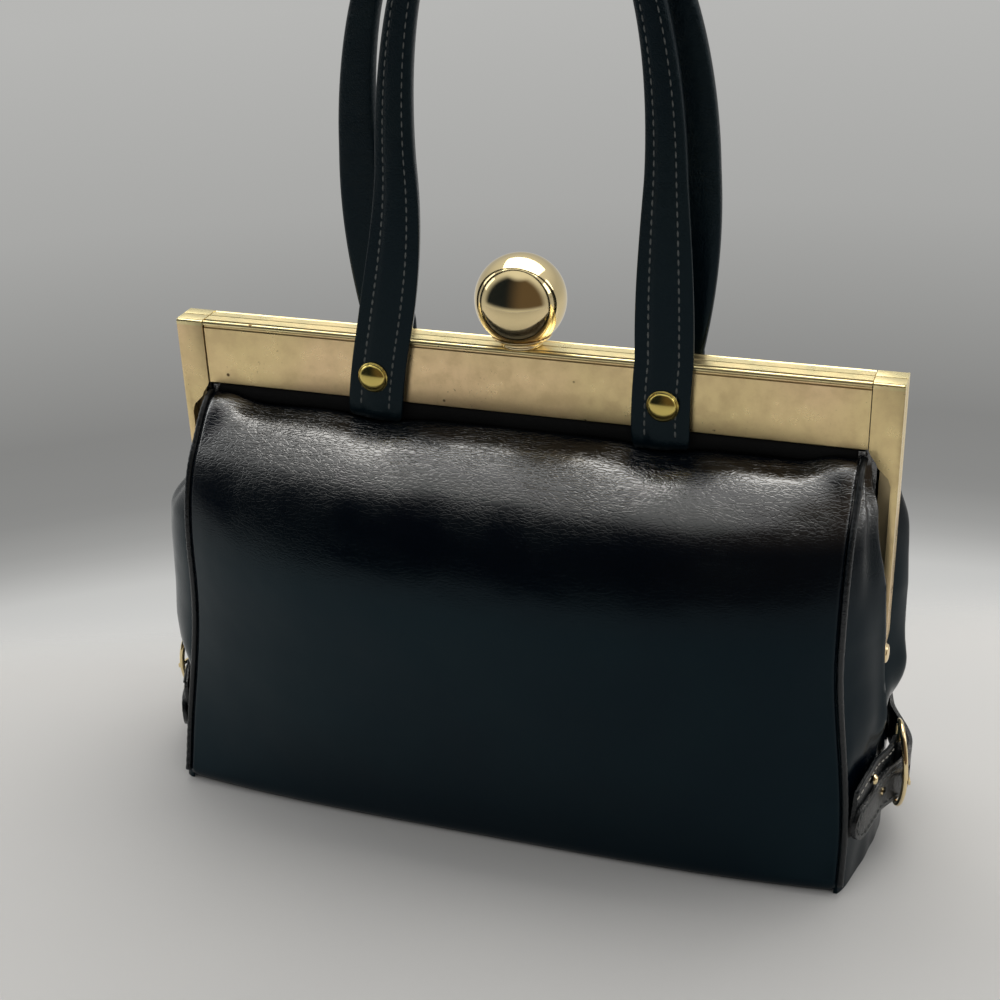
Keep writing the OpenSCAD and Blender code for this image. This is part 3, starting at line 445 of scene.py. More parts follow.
belt_hide = small_leather("belt_hide", 0.5, 560.0, 1900.0, (0.5, 0.35), 0.00014, 0.8,
                          ((0.0025, 0.0042, 0.0056), (0.0050, 0.0068, 0.0082)), (0.19, 0.30))
piping_hide = small_leather("piping_hide", 0.5, 700.0, 2200.0, (1.0, 0.0), 0.00007, 0.7,
                            ((0.0025, 0.0050, 0.0075), (0.0060, 0.0085, 0.0100)), (0.26, 0.38))
# Painted shade: matt_hide is kept matt and near black so that the binding band under the plate
# reads as the deep shade of the recess there.
matt_hide = small_leather("matt_hide", 0.25, 500.0, 1500.0, (0.0, 1.0), 0.0001, 0.7,
                          ((0.0022, 0.0026, 0.0032), (0.0045, 0.0050, 0.0056)), (0.62, 0.78))
print("made", belt_hide.name, piping_hide.name, matt_hide.name)

# %% [markdown]
# The plates are thin sheet with a champagne plating. It has gone pinkish where hands rub it,
# greenish where it is dull, and it carries clusters of small brown specks. The ball and the cup
# are plated brighter and still reflect like a mirror. The rivet caps are a yellower, softer
# brass, and the frame inside is lacquered steel.

# %% Champagne plating
def champagne():
    m, t, shader, where = new_material("champagne_plating", Metallic=1.0)
    wear = use_group(t, plating_wear, where, Amount=1.0)
    tone = mix_colour(t, wear["Bloom"], (1.0, 0.74, 0.43), (0.93, 0.74, 0.38))
    # Painted highlight: the top of the bead is coloured a paler, brighter yellow than the face
    # below.
    crest = span(t, node(t, "SeparateXYZ", Vector=where).outputs["Z"], 0.1835, 0.1842)
    tone = mix_colour(t, crest, tone, (0.98, 0.85, 0.46))
    dull = mix_colour(t, span(t, wear["Haze"], 0.42, 0.66, 0.0, 0.5), tone, (0.82, 0.62, 0.33))
    scratched = math_node(t, "MULTIPLY", wear["Scratches"], 0.25)
    height = math_node(t, "SUBTRACT", scratched, wear["Specks"])
    wavy = bump(t, mottle(t, where, 28.0, 1.0)["Fac"], 0.0006, 0.35)
    set_up(t, shader, Normal=bump(t, height, 0.00002, 0.8, Normal=wavy),
           Base_Color=mix_colour(t, wear["Specks"], dull, (0.24, 0.16, 0.08)),
           Roughness=math_node(t, "ADD", span(t, wear["Haze"], 0.35, 0.7, 0.27, 0.40),
                               math_node(t, "MULTIPLY", wear["Specks"], 0.3)))
    return m

champagne_plating = champagne()
print("made", champagne_plating.name)

# %% The other metals
def metal(name, amount, tones, speck, haze_top, rough, depth, strength):
    m, t, shader, where = new_material(name, Metallic=1.0)
    wear = use_group(t, plating_wear, where, Amount=amount)
    set_up(t, shader, Normal=bump(t, wear["Scratches"], depth, strength),
           Base_Color=mix_colour(t, wear["Specks"], mix_colour(t, wear["Bloom"], *tones), speck),
           Roughness=span(t, wear["Haze"], 0.35, haze_top, *rough))
    return m

polished_plating = metal("polished_plating", 0.35, ((0.92, 0.72, 0.45), (0.88, 0.72, 0.40)),
                         (0.30, 0.20, 0.07), 0.75, (0.05, 0.13), 0.000004, 0.6)
brass_caps = metal("brass_caps", 0.3, ((0.80, 0.62, 0.20), (0.72, 0.58, 0.17)),
                   (0.30, 0.20, 0.07), 0.75, (0.13, 0.24), 0.000006, 0.6)
lacquered_steel = metal("lacquered_steel", 0.8, ((0.44, 0.35, 0.20), (0.52, 0.42, 0.25)),
                        (0.14, 0.11, 0.05), 0.7, (0.30, 0.48), 0.00002, 0.7)
print("made", polished_plating.name, brass_caps.name, lacquered_steel.name)

# %% Lining cloth, board and thread
def lining_material():
    m, t, shader, where = new_material("lining_twill", Roughness=0.82, Specular_IOR_Level=0.25)
    twill = use_group(t, cloth_twill, where, Threads_per_metre=1500.0)
    height = math_node(t, "ADD", twill["Height"], math_node(t, "MULTIPLY", twill["Fuzz"], 0.6))
    set_up(t, shader, Normal=bump(t, height, 0.0001, 0.7),
           Base_Color=mix_colour(t, twill["Height"], (0.030, 0.030, 0.033), (0.052, 0.051, 0.054)))
    return m

def fibre_material(name, rough, level, scale, detail, depth, dark, light):
    m, t, shader, where = new_material(name, Roughness=rough, Specular_IOR_Level=level)
    fibre = mottle(t, where, scale, detail)["Fac"]
    set_up(t, shader, Base_Color=mix_colour(t, fibre, dark, light),
           Normal=bump(t, fibre, depth, 0.6))
    return m

def thread_material(name, dark, light):
    return fibre_material(name, 0.7, 0.3, 2500.0, 2.0, 0.0001, dark, light)

lining_twill = lining_material()
grey_board = fibre_material("grey_board", 0.9, 0.2, 600.0, 4.0, 0.0002, (0.24, 0.21, 0.17),
                            (0.36, 0.32, 0.26))
strap_thread = thread_material("strap_thread", (0.030, 0.035, 0.036), (0.17, 0.18, 0.175))
belt_thread = thread_material("belt_thread", (0.30, 0.29, 0.26), (0.55, 0.53, 0.48))
print("made", lining_twill.name, grey_board.name, strap_thread.name, belt_thread.name)

# %% [markdown]
# ## Front and rear leather
# The real panel is one hide from the base seam, over the shoulder and in under the frame. The CAD
# splits it in two so that the upper part can open with the frame. The relief adds what the hide
# does by itself: a slack wave over the middle and small gathers at the top corners. The shoulder
# also stands a few millimetres higher than in the CAD, most at the corners, and dips where the
# handle ends press on it.

# %% Relief of the panel
def panel_relief(t, v):
    p = Vector((t * 2.6, v * 2.2, 3.1))
    slack = 0.55 * (noise.noise(p) + 0.5 * noise.noise(p * 2.3))
    stray = 2.0 * noise.noise(Vector((t * 6, v * 3, 0.4)))
    corner = soft(0.80, 1.0, abs(t)) * soft(1.55, 1.95, v)
    gather = 0.9 * corner * math.sin(30 * abs(t) + 9 * v + stray)
    crest, dip = math.exp(-((v - 1.975) / 0.02) ** 2), math.exp(-((v - 1.90) / 0.035) ** 2)
    ridge = 0.35 * (crest - dip)
    rim = 1 - abs(t)
    calm = soft(0, 0.12, rim) * soft(foot_v, 0.25, v)
    return slack * calm + gather * soft(0, 0.03, rim) + ridge * soft(0, 0.08, rim)

handle_t = 0.44

def corner_rise(t, v):
    pressed = 1 - 0.75 * math.exp(-((abs(t) - handle_t) / 0.11) ** 2)
    middle = 3.2 * pressed * soft(1.60, 1.92, v)
    return middle + 4.0 * soft(0.80, 1.0, abs(t)) * soft(1.60, panel_top, v)

# %% Build the two panels
foot_steps = ((5, 0), (3, 0.2), (1.2, 1.1), (0.3, 3))

def across_panel(cols):
    return [-math.cos(math.pi * k / cols) * 0.35 + (2 * k / cols - 1) * 0.65
            for k in range(cols + 1)]

def panel_row(v, cols, deep):
    row = []
    for t in across_panel(cols):
        x, y, z = wall_point(t, v, deep - panel_relief(t, v), edge_in)
        row.append((x, y, z + corner_rise(t, v)))
    return row

def foot_row(turn, rise, cols, deep):
    back, up = (0.1, 1) if turn > 4 else (0.85, 0.5)
    row = []
    for t in across_panel(cols):
        x, y, z = wall_point(t, foot_v, 0, edge_in)
        row.append((x * (1 - 0.008 * turn), y + turn + deep * back, rise + deep * up))
    return row

def panel_grid(deep, cols=110, rows=96):
    levels = [foot_v + (panel_top - foot_v) * r / rows for r in range(rows + 1)]
    return ([foot_row(turn, rise, cols, deep) for turn, rise in foot_steps]
            + [panel_row(v, cols, deep) for v in levels])

def follow_half(piece):
    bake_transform(piece)

for side, half in HALVES:
    panel = sheet(f"{side}_body_leather", panel_grid(0), panel_grid(leather_t), black_hide,
                  mirror_y=side == "rear")
    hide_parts(f"{side}_panel", f"{side}_shoulder")
    follow_half(report(panel))

# %% [markdown]
# ## Piping
# A cord wrapped in thin leather is sewn into each side seam. It protects the seam and draws the
# line that separates panel and gusset. It is a round tube with a slight unevenness from the
# stitches below.

# %% Build the piping
def piping_path(v_low, v_high, n):
    path = []
    for k in range(n + 1):
        v = v_low + (v_high - v_low) * k / n
        y, z = wall(v, 0)
        path.append(Vector((seam_x(z) + piping_r + 0.15, -y + 0.9, z + corner_rise(1.0, v))))
    return path

def piping_tube(path, radius, sides):
    rings = []
    for k, p in enumerate(path):
        d = (path[min(len(path) - 1, k + 1)] - path[max(0, k - 1)]).normalized()
        up = Vector((1, 0, 0))
        across = d.cross(up).normalized()
        uneven = radius * (1 + 0.05 * math.sin(k * 1.9))
        rings.append([tuple(p + a * up + b * across) for a, b in circle(uneven, sides)])
    return tube_parts(rings)

for side, half in HALVES:
    points, faces = piping_tube(piping_path(4 / waist_z, 1.975, 170), piping_r, 14)
    other = [(-x, y, z) for x, y, z in points]
    piping = add_mesh(f"{side}_seam_piping", *joined([(points, faces), (other, faces)]),
                      piping_hide, mirror_y=side == "rear")
    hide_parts(f"{side}_piping", f"{side}_upper_piping")
    follow_half(report(piping))

# %% [markdown]
# ## Gussets
# Each end of the bag is a soft leather gusset. Below the hinge it is one round bulge. Beside the
# frame arms it divides into two lobes, which open with the frame, and behind the arms it goes in
# as a pleat that lets the mouth spread. A front and a rear half meet on the middle line below the
# hinge, and each half is one sheet up to the corner of the frame, where it is gathered. Worn
# leather doesn't stand out alike on both sides, so every half has its own bulge.

# %% Relief of the gussets
def gusset_relief(y, z):
    p = Vector((y * 0.045, z * 0.03, 7.7))
    slack = 0.8 * noise.noise(p) + 0.35 * noise.noise(p * 2.6)
    fold_y = 21 - 0.10 * (z - 20)
    fold = math.exp(-((abs(y) - fold_y) / 3.5) ** 2) * soft(12, 30, z) * soft(80, 55, z)
    return slack + 1.3 * fold

# %% Build the gussets
gusset_foot, gusset_top, gathered, ridge_y = 0.3, 159.6, 6.2, 17.5
gusset_shapes = {
    ("front", "left"): dict(bulge=14.5, low=18.0, hug=1.0, power=0.6, ridge=1.2),
    ("front", "right"): dict(bulge=6.5, low=12.5, hug=0.0, power=1.0, ridge=3.2),
    ("rear", "left"): dict(bulge=12.5, low=18.0, hug=0.0, power=1.0, ridge=1.2),
    ("rear", "right"): dict(bulge=12.5, low=14.5, hug=0.0, power=1.0, ridge=1.2),
}

def gusset_grid(sink, side, bulge, low, hug, power, ridge):
    rows, cols = 120, 44
    held = shoulder_z + 3.5
    grid = []
    for r in range(rows + 1):
        z = gusset_foot + (gusset_top - gusset_foot) * r / rows
        zc = min(z, shoulder_z - 5)
        full = gusset_y(zc)
        ys = full - (full - gathered) * soft(shoulder_z - 5, held, z)
        near = 1.9 * soft(gusset_split - 3, gusset_split + 4, z)
        high, bend = soft(98, 150, z), soft(gusset_split - 2, gusset_split + 6, z)
        lower = gusset_out + (low - gusset_out) * soft(40, 56, z)
        ridged = ridge * soft(44, 62, z) * soft(138, 112, z)
        row = []
        for c in range(cols + 1):
            q = c / cols
            y, arch = near + (ys - near) * q, math.sin(math.pi * q)
            calm = (1 - bend) * soft(0, 0.12, 1 - q) + bend * max(0, arch) ** 0.6
            wave = 1.6 * noise.noise(Vector((q * 2, z * 0.03, 2)))
            x = gusset_at(y * full / ys, zc, bulge, lower, hug, power)
            x += gusset_relief(side * y, z) * calm
            x += 1.5 * high * arch * math.sin(15.0 * q + 1.1 + wave)
            x += ridged * math.exp(-abs(y - ridge_y) / 4.5) * calm
            x -= 3.5 * soft(shoulder_z - 12, held, z) * arch
            row.append((x - sink, -y, z))
        start = row[0]
        tuck = []
        for tx, ty in ((130.2 - sink * 0.2, -1.9 - sink), (132.8 - sink * 0.6, -1.9 - sink * 0.8)):
            tuck.append((start[0] + (tx - start[0]) * bend, start[1] + (ty - start[1]) * bend, z))
        grid.append(tuck + row)
    return grid

for side, half in HALVES:
    for end in ("left", "right"):
        sign, shape = (-1 if side == "front" else 1), gusset_shapes[side, end]
        outer, inner = gusset_grid(0, sign, **shape), gusset_grid(leather_t, sign, **shape)
        gusset = sheet(f"{side}_{end}_gusset_leather", outer, inner, black_hide,
                       mirror_y=side == "rear", mirror_x=end == "left")
        crisp(gusset, 55)
        if side == "front":
            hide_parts(f"{end}_gusset", f"{end}_gusset_folds")
        follow_half(report(gusset))

# %% Pleats behind the frame arms
pleat_in, pleat_out, pleat_low = 121, 130, hinge_z - 3

def pleat_grid(sink):
    y, tall = -0.08 - 1.2 * sink / leather_t, shoulder_z - 1 - pleat_low
    wide = pleat_out - pleat_in
    return grid_of(40, 12, lambda up, out: (pleat_in + wide * out, y, pleat_low + tall * up))

for side, half in HALVES:
    for end in ("left", "right"):
        pleat = sheet(f"{side}_{end}_gusset_pleat", pleat_grid(0), pleat_grid(leather_t), matt_hide,
                      mirror_y=side == "rear", mirror_x=end == "left")
        sign = -1 if end == "left" else 1
        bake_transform(pleat)
print("pleats made")

# %% [markdown]
# ## Base
# The bottom is a flat piece of the same leather inside the turned edges of the panels and
# gussets.

# %% Build the base
def base_outline(inset):
    x_end = (seam_x(0) - 0.3) * (1 - 0.008 * 5)
    side = [2 * i / 24 - 1 for i in range(25)]
    y_end = wall(foot_v, 0)[0] - 5 - inset
    front = [(t * (x_end - inset), -(wall(foot_v, crown_at(t))[0] - 5 - inset)) for t in side]
    right = [(gusset_at(y_end * t, 0) - leather_t - inset, 0.98 * y_end * t) for t in side]
    return front + right + [(-x, -y) for x, y in front] + [(-x, -y) for x, y in right]

rings = []
for inset, z in ((0.9, 0.0), (0.3, 0.4), (0.3, leather_t - 0.3), (0.9, leather_t)):
    rings.append([(x, y, z) for x, y in base_outline(inset)])
base = add_mesh("base_leather", *tube_parts(rings), black_hide)
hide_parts("base_panel")
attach(report(base), "root")

# %% [markdown]
# ## Inside
# The lining is a cloth tub. Its walls hang from the leather facing under the frame, so they open
# with it, while its floor and ends stay down. A board stiffens each panel between hide and
# lining, and a flat pocket with a turned hem is sewn to the rear wall.

# %% Lining walls, boards and pocket
cloth_low, cloth_high, cloth_reach = 6.5, 141, 0.985
board_low, board_high, board_gap = 8, 107, 0.5
pocket_low, pocket_high, pocket_t = 22, 96, 0.7

def wall_piece(name, v_low, v_high, sink, thick, edge, across, material, rear, rows=40, cols=60,
               rest=0.0):
    def grid(deep):
        def point(up, along):
            t, v = across * (2 * along - 1), v_low + (v_high - v_low) * up
            ripple = rest * noise.noise(Vector((t * 5, v * 1.2, 9.3)))
            return wall_point(t, v, deep + ripple, edge)
        return grid_of(rows, cols, point)
    return sheet(name, grid(sink), grid(sink + thick), material, mirror_y=rear)

for side, half in HALVES:
    rear = side == "rear"
    cloth = wall_piece(f"{side}_lining_wall", cloth_low / waist_z, v_of(cloth_high), lining_in,
                       lining_t, 2.6, cloth_reach, lining_twill, rear, rest=0.5)
    follow_half(cloth)
    if not rear:
        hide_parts("lining")
    board = wall_piece(f"{side}_panel_board", board_low / waist_z, v_of(board_high),
                       leather_t + board_gap, board_t, edge_in, 0.9, grey_board, rear, rows=24,
                       cols=40)
    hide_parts(f"{side}_stiffener")
    follow_half(board)

pocket = wall_piece("rear_wall_pocket", pocket_low / waist_z, v_of(pocket_high),
                    lining_in + lining_t + 0.8, pocket_t, edge_in, 0.58, lining_twill, True,
                    rows=30, cols=40, rest=0.5)
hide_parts("inner_pocket")
follow_half(report(pocket))

# %% Lining floor and ends
floor_low, end_low, end_top = 4.3, 4.6, 104

def lining_floor_grid(sink):
    def point(back, along):
        t = cloth_reach * (2 * along - 1)
        x, y, z = wall_point(t, floor_low / waist_z, lining_in + 0.8, 3.4)
        return x, -(2 * back - 1) * y, floor_low + sink
    return grid_of(12, 40, point)

def lining_end_grid(sink):
    def point(up, along):
        z = end_low + (end_top - end_low) * up
        ys = wall(v_of(z), 0)[0] - lining_in - 1.2
        return seam_x(z) - 2.9 - sink, ys * (2 * along - 1), z
    return grid_of(24, 24, point)

lining_floor = sheet("lining_floor", lining_floor_grid(0), lining_floor_grid(lining_t),
                     lining_twill)
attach(lining_floor, "root")
for end in ("left", "right"):
    cloth = sheet(f"{end}_lining_end", lining_end_grid(0), lining_end_grid(lining_t), lining_twill,
                  mirror_x=end == "left")
    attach(cloth, "root")
print("lining made")

# %% Facing and binding under the frame
binding_y, binding_z, binding_deep, binding_tall = -4.65, 156.3, 1.2, 3.5
facing_low, facing_high, facing_t = 118, 168, 0.7

def binding_rings(x_end):
    section = []
    for c, s in circle(1, 20):
        section.append((binding_y + math.copysign(binding_deep * abs(c) ** 0.7, c),
                        binding_z + math.copysign(binding_tall * abs(s) ** 0.8, s)))
    return [[(x_end * (2 * k / 60 - 1), y, z) for y, z in section] for k in range(61)]

def facing_grid(sink):
    return grid_of(19, 60, lambda up, along: ((plate_x - 4) * (2 * along - 1), -facing_y + sink,
                                              facing_low + (facing_high - facing_low) * up))

for side, half in HALVES:
    rear = side == "rear"
    # Partly painted shade: a real binding strip, given the matt near-black hide so that the band
    # under the plate reads as shade.
    binding = add_mesh(f"{side}_binding_strip", *tube_parts(binding_rings(plate_x - 1)), matt_hide,
                       mirror_y=rear)
    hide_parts(f"{side}_binding")
    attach(binding, half)
    facing = sheet(f"{side}_mouth_facing", facing_grid(0), facing_grid(facing_t), matt_hide,
                   mirror_y=rear)
    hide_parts(f"{side}_facing")
    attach(facing, half)
print("facings and bindings made")

# %% [markdown]
# ## Handles
# A handle is one long strap of two hides over a pad. It is flat where it is riveted to the plate,
# then narrows, thickens and rolls towards the crest of its arch. Two rows of stitches follow it,
# a quarter of the width in from each edge. The pad stands up between them, and thin flanges lie
# outside them. The strap bends just above the plate when the handle falls forward. The front
# handle leans a little to one side, and the rear one stands straight.

# %% Shape of a handle
rivet_x, rivet_z, tail_l = 56.0, 171.4, 17.5
strap_w, tail_w, strap_t, grip_w, grip_t = 21.5, 22.0, 4.4, 10.0, 7.5
flex_z, arch_z, arch_top, strap_mid, flex_share = 187.5, 253.24, 354.0, 8.8, 0.34

def handle_point(s, flex, leg, skew, lean):
    low = math.sin(math.pi / 2 * min(1, s / 0.45))
    a = math.radians(90 * max(0, (s - 0.45) / 0.55))
    if s < 0.45:
        x = flex + (leg - flex) * low
        z = flex_z + (arch_z - flex_z) * s / 0.45
    else:
        x, z = leg * max(0, math.cos(a)) ** 0.68, arch_z + (arch_top - arch_z) * math.sin(a)
    back = lean * (1 - math.cos(math.pi * min(1, (z - flex_z) / (arch_top - flex_z)))) / 2
    return x, -strap_mid + back, z, skew * (flex_share + (1 - flex_share) * low)

def handle_path(flex, leg, skew, lean):
    left = []
    for k in range(16):
        z = rivet_z - tail_l + (flex_z - rivet_z + tail_l) * k / 16
        up = (z - rivet_z + tail_l) / (flex_z - rivet_z + tail_l)
        swing = skew * flex_share * (1.47 * up ** 1.7 - 0.47)
        left.append((rivet_x + (flex - rivet_x) * up, -strap_mid, z, swing, up - 1))
    for k in range(71):
        x, y, z, off = handle_point(k / 70, flex, leg, skew, lean)
        left.append((x, y, z, off, k / 70))
    path = [(-x + off, y, z, s) for x, y, z, off, s in left]
    path += [(x + off, y, z, s) for x, y, z, off, s in reversed(left[:-1])]
    return path

def handle_size(s):
    if s < 0:
        return tail_w + (strap_w - tail_w) * (1 + s), strap_t
    k = soft(0.05, 0.80, s)
    return strap_w + (grip_w - strap_w) * k, strap_t + (grip_t - strap_t) * k

# %% Section of a handle
stitch_u = 0.52

def squareness(s):
    return 9 - 6.4 * soft(0.10, 0.75, s)

def rounded(a, s):
    return max(0.0, 1 - a ** squareness(s)) ** (1 / squareness(s))

def pad_profile(u, s):
    a, s = abs(u), max(0, s)
    pad, flange = 1 - 0.30 * (a / 0.48) ** 2, 0.58 - 0.20 * (a - 0.54) / 0.46
    top = pad + (flange - pad) * soft(0.47, 0.57, a)
    top += (1 - top) * soft(0.25, 0.80, s)
    groove = 0.16 * math.exp(-((a - stitch_u) / 0.045) ** 2) * (1 - 0.4 * soft(0.5, 1, s))
    return rounded(a, s) * (top - groove)

def handle_rings(path):
    rings, rows = [], [[], []]
    last = len(path) - 1
    for k, (x, y, z, s) in enumerate(path):
        a, b = path[max(0, k - 1)], path[min(last, k + 1)]
        dx, dz = b[0] - a[0], b[2] - a[2]
        n = math.hypot(dx, dz)
        dx, dz = dx / n, dz / n
        w, t = handle_size(s)
        tip = min(k, last - k)
        if tip < 3:
            w *= (0.90, 0.97, 0.995)[tip]
            t *= (0.75, 0.95, 1.0)[tip]
        front = [-math.cos(math.pi * i / 24) for i in range(25)]
        back = [math.cos(math.pi * i / 12) for i in range(1, 12)]
        ring = [(u, -t / 2 * pad_profile(u, s)) for u in front]
        ring += [(u, 0.96 * t / 2 * rounded(abs(u), s)) for u in back]
        rings.append([(x + u * w / 2 * dz, y + v, z - u * w / 2 * dx) for u, v in ring])
        for row, u in zip(rows, (-stitch_u, stitch_u)):
            row.append((x + u * w / 2 * dz, y - t / 2 * pad_profile(u, s), z - u * w / 2 * dx))
    return rings, rows

# %% [markdown]
# ## Stitches with Geometry Nodes
# A stitch is a short thread that dips at both ends. Modelling each by hand would take hours, so a
# node tree does it: it walks along a line, drops a point every few millimetres and puts one small
# rounded thread on each, turned along the line. Pitch, length and thickness are named inputs.

# %% Build the stitch tree
def make_stitch_tree():
    tree = bpy.data.node_groups.new("Stitch row", "GeometryNodeTree")
    keys = {}
    for title, kind, value in (("Geometry", "Geometry", None), ("Pitch", "Float", 0.0034),
                               ("Length", "Float", 0.0025), ("Thickness", "Float", 0.0006),
                               ("Thread", "Material", None)):
        socket = tree.interface.new_socket(title, in_out="INPUT", socket_type="NodeSocket" + kind)
        if value is not None:
            socket.default_value = value
        keys[title] = socket.identifier
    tree.interface.new_socket("Geometry", in_out="OUTPUT", socket_type="NodeSocketGeometry")

    def add(kind, **values):
        return set_up(tree, tree.nodes.new(kind), **values)

    given = add("NodeGroupInput").outputs
    curve = add("GeometryNodeMeshToCurve", Mesh=given["Geometry"])
    dots = add("GeometryNodeCurveToPoints", mode="LENGTH", Curve=curve.outputs["Curve"],
               Length=given["Pitch"]).outputs
    ball = add("GeometryNodeMeshUVSphere", Segments=6, Rings=6, Radius=0.5)
    size = add("ShaderNodeCombineXYZ", X=given["Thickness"], Y=given["Thickness"],
               Z=given["Length"])
    shape = add("GeometryNodeTransform", Geometry=ball.outputs["Mesh"], Scale=size.outputs[0])
    place = add("GeometryNodeInstanceOnPoints", Points=dots["Points"],
                Instance=shape.outputs["Geometry"], Rotation=dots["Rotation"])
    real = add("GeometryNodeRealizeInstances", Geometry=place.outputs["Instances"])
    paint = add("GeometryNodeSetMaterial", Geometry=real.outputs["Geometry"],
                Material=given["Thread"])
    add("NodeGroupOutput", Geometry=paint.outputs["Geometry"])
    return tree, keys

stitch_tree, stitch_keys = make_stitch_tree()

def stitches(name, lines, thread, pitch, length, thickness, **mirrored):
    points, edges = [], []
    for line in lines:
        base = len(points)
        points += in_metres(line, **mirrored)
        edges += [(base + k, base + k + 1) for k in range(len(line) - 1)]
    mesh = bpy.data.meshes.new(name)
    mesh.from_pydata(points, edges, [])
    obj = add_object(name, mesh)
    modifier = obj.modifiers.new("stitches", "NODES")
    modifier.node_group = stitch_tree
    for title, value in (("Pitch", pitch * MM), ("Length", length * MM),
                         ("Thickness", thickness * MM), ("Thread", thread)):
        modifier[stitch_keys[title]] = value
    baked(obj)
    for polygon in obj.data.polygons:
        polygon.use_smooth = True
    return report(obj)

# %% Build the handles
handle_shapes = (("front", 53.75, 49.3, 6.3, 4.0), ("rear", 56.0, 63.5, 0.0, 0.0))
handle_stitch, belt_stitch = (3.4, 2.7, 0.9), (2.9, 2.2, 0.55)
for side, flex, leg, skew, lean in handle_shapes:
    rear = side == "rear"
    rings, rows = handle_rings(handle_path(flex, leg, skew, lean))
    strap = add_mesh(f"{side}_strap_handle", *tube_parts(rings), strap_hide, mirror_y=rear)
    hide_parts(f"{side}_handle", f"{side}_handle_ends")
    report(strap)
    seams = [[row[k] for k in range(3, len(row) - 3)] for row in rows]
    thread = stitches(f"{side}_handle_stitches", seams, strap_thread, *handle_stitch,
                      mirror_y=rear)
    for piece in (strap, thread):
        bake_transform(piece)

# %% [markdown]
# ## Belts
# A short belt is buckled round each end of the bag. A wide band comes from the front seam and
# loops round the buckle's bar. A strap comes from the rear seam, goes over the bar and under the
# front of the buckle, and ends in a round tip. The CAD solids have the right run, so clean copies
# of them get rounded edges. Stitches follow the edges, and the band's upper edge is rolled.

# %% Helper: a clean copy of a CAD node with rounded edges
def rounded_copy(name, source, width, segments, material, angle=28.0):
    mesh = bpy.data.objects[source].data.copy()
    mesh.name = name
    obj = add_object(name, mesh)
    bm = bmesh.new()
    bm.from_mesh(mesh)
    bmesh.ops.remove_doubles(bm, verts=bm.verts, dist=2e-6)
    bmesh.ops.dissolve_limit(bm, angle_limit=math.radians(1.0), verts=bm.verts, edges=bm.edges)
    bmesh.ops.recalc_face_normals(bm, faces=bm.faces)
    bm.to_mesh(mesh)
    bm.free()
    for polygon in mesh.polygons:
        polygon.use_smooth = True
    mesh.materials.clear()
    mesh.materials.append(material)
    bevel = obj.modifiers.new("edges", "BEVEL")
    bevel.width = width * MM
    bevel.segments = segments
    bevel.limit_method = "ANGLE"
    bevel.angle_limit = math.radians(angle)
    bevel.harden_normals = True
    baked(obj)
    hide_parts(source)
    return report(obj)

# %% Lines that the belts follow
bar_x, bar_y, belt_z, belt_t, loop_r = 148.043, -6.0, 31.0, 1.5, 1.35

def on_gusset(y):
    return gusset_at(y, 17.0) + 0.3

def band_face(y):
    return on_gusset(y) + (bar_x - loop_r - belt_t - on_gusset(y)) * soft(-18, 0, y - bar_y)

def strap_face(y):
    low = max(on_gusset(y) + belt_t + 0.3, seam_x(belt_z) + 2 * piping_r + 0.5)
    return low + (bar_x + loop_r + belt_t + 0.3 - low) * soft(-17.5, 0, y - bar_y)

def outer_line(face, line):
    out = []
    for y, z in line:
        slope = (face(y + 0.5) - face(y - 0.5))
        out.append((face(y) + (belt_t + 0.08) * math.hypot(1, slope), y, z))
    return out

def between(marks, step=0.8):
    line = []
    for (ya, za), (yb, zb) in zip(marks, marks[1:]):
        n = max(1, round(math.hypot(yb - ya, zb - za) / step))
        line += [(ya + (yb - ya) * k / n, za + (zb - za) * k / n) for k in range(n)]
    return line + [marks[-1]]

# %% Stitches of the belts
tip_y, tip_r, strap_top, strap_low = -37.4, 5.8, 35.2, 22.4
band_row = between([(-41, 37.3), (-35, 39.5), (-26, 41.1), (-17, 40.3), (-11, 39.8)])
tip_turns = [math.radians(a) for a in range(0, 181, 15)]
round_tip = [(tip_y - tip_r * math.sin(a), 25.2 + tip_r * math.cos(a)) for a in tip_turns]
strap_row = between([(-15, strap_top)] + round_tip + [(-15, strap_low)])
for end in ("left", "right"):
    for name, face, line, thread in (("band", band_face, band_row, belt_thread),
                                     ("strap", strap_face, strap_row, strap_thread)):
        row = stitches(f"{end}_belt_{name}_stitches", [outer_line(face, line)], thread,
                       *belt_stitch, mirror_x=end == "left")
        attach(row, "root")

# %% Rolled edge of the bands
rolled_r, sunk = 0.55, 0.3
edge_line = between([(-41, 39.4), (-35, 41.6), (-26, 43.2), (-17, 42.4), (-11, 41.9)])
for end in ("left", "right"):
    path = [Vector((x - sunk, y, z)) for x, y, z in outer_line(band_face, edge_line)]
    rolled = add_mesh(f"{end}_belt_band_edge", *piping_tube(path, rolled_r, 12), piping_hide,
                      mirror_x=end == "left")
    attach(rolled, "root")

# %% Belt leather
for end in ("left", "right"):
    for part, width in (("band", 0.35), ("strap", 0.4)):
        belt = rounded_copy(f"{end}_belt_{part}_leather", f"{end}_belt_{part}", width, 3, belt_hide)
        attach(belt, "root")

# %% Buckles
ring_a, ring_b, wire_r, bow, buckle_turn = 11.8, 17.3, 1.08, 0.9, 15
on_bar = Matrix.Translation((bar_x, bar_y, 0)) @ Matrix.Rotation(math.radians(buckle_turn), 4, "Z")

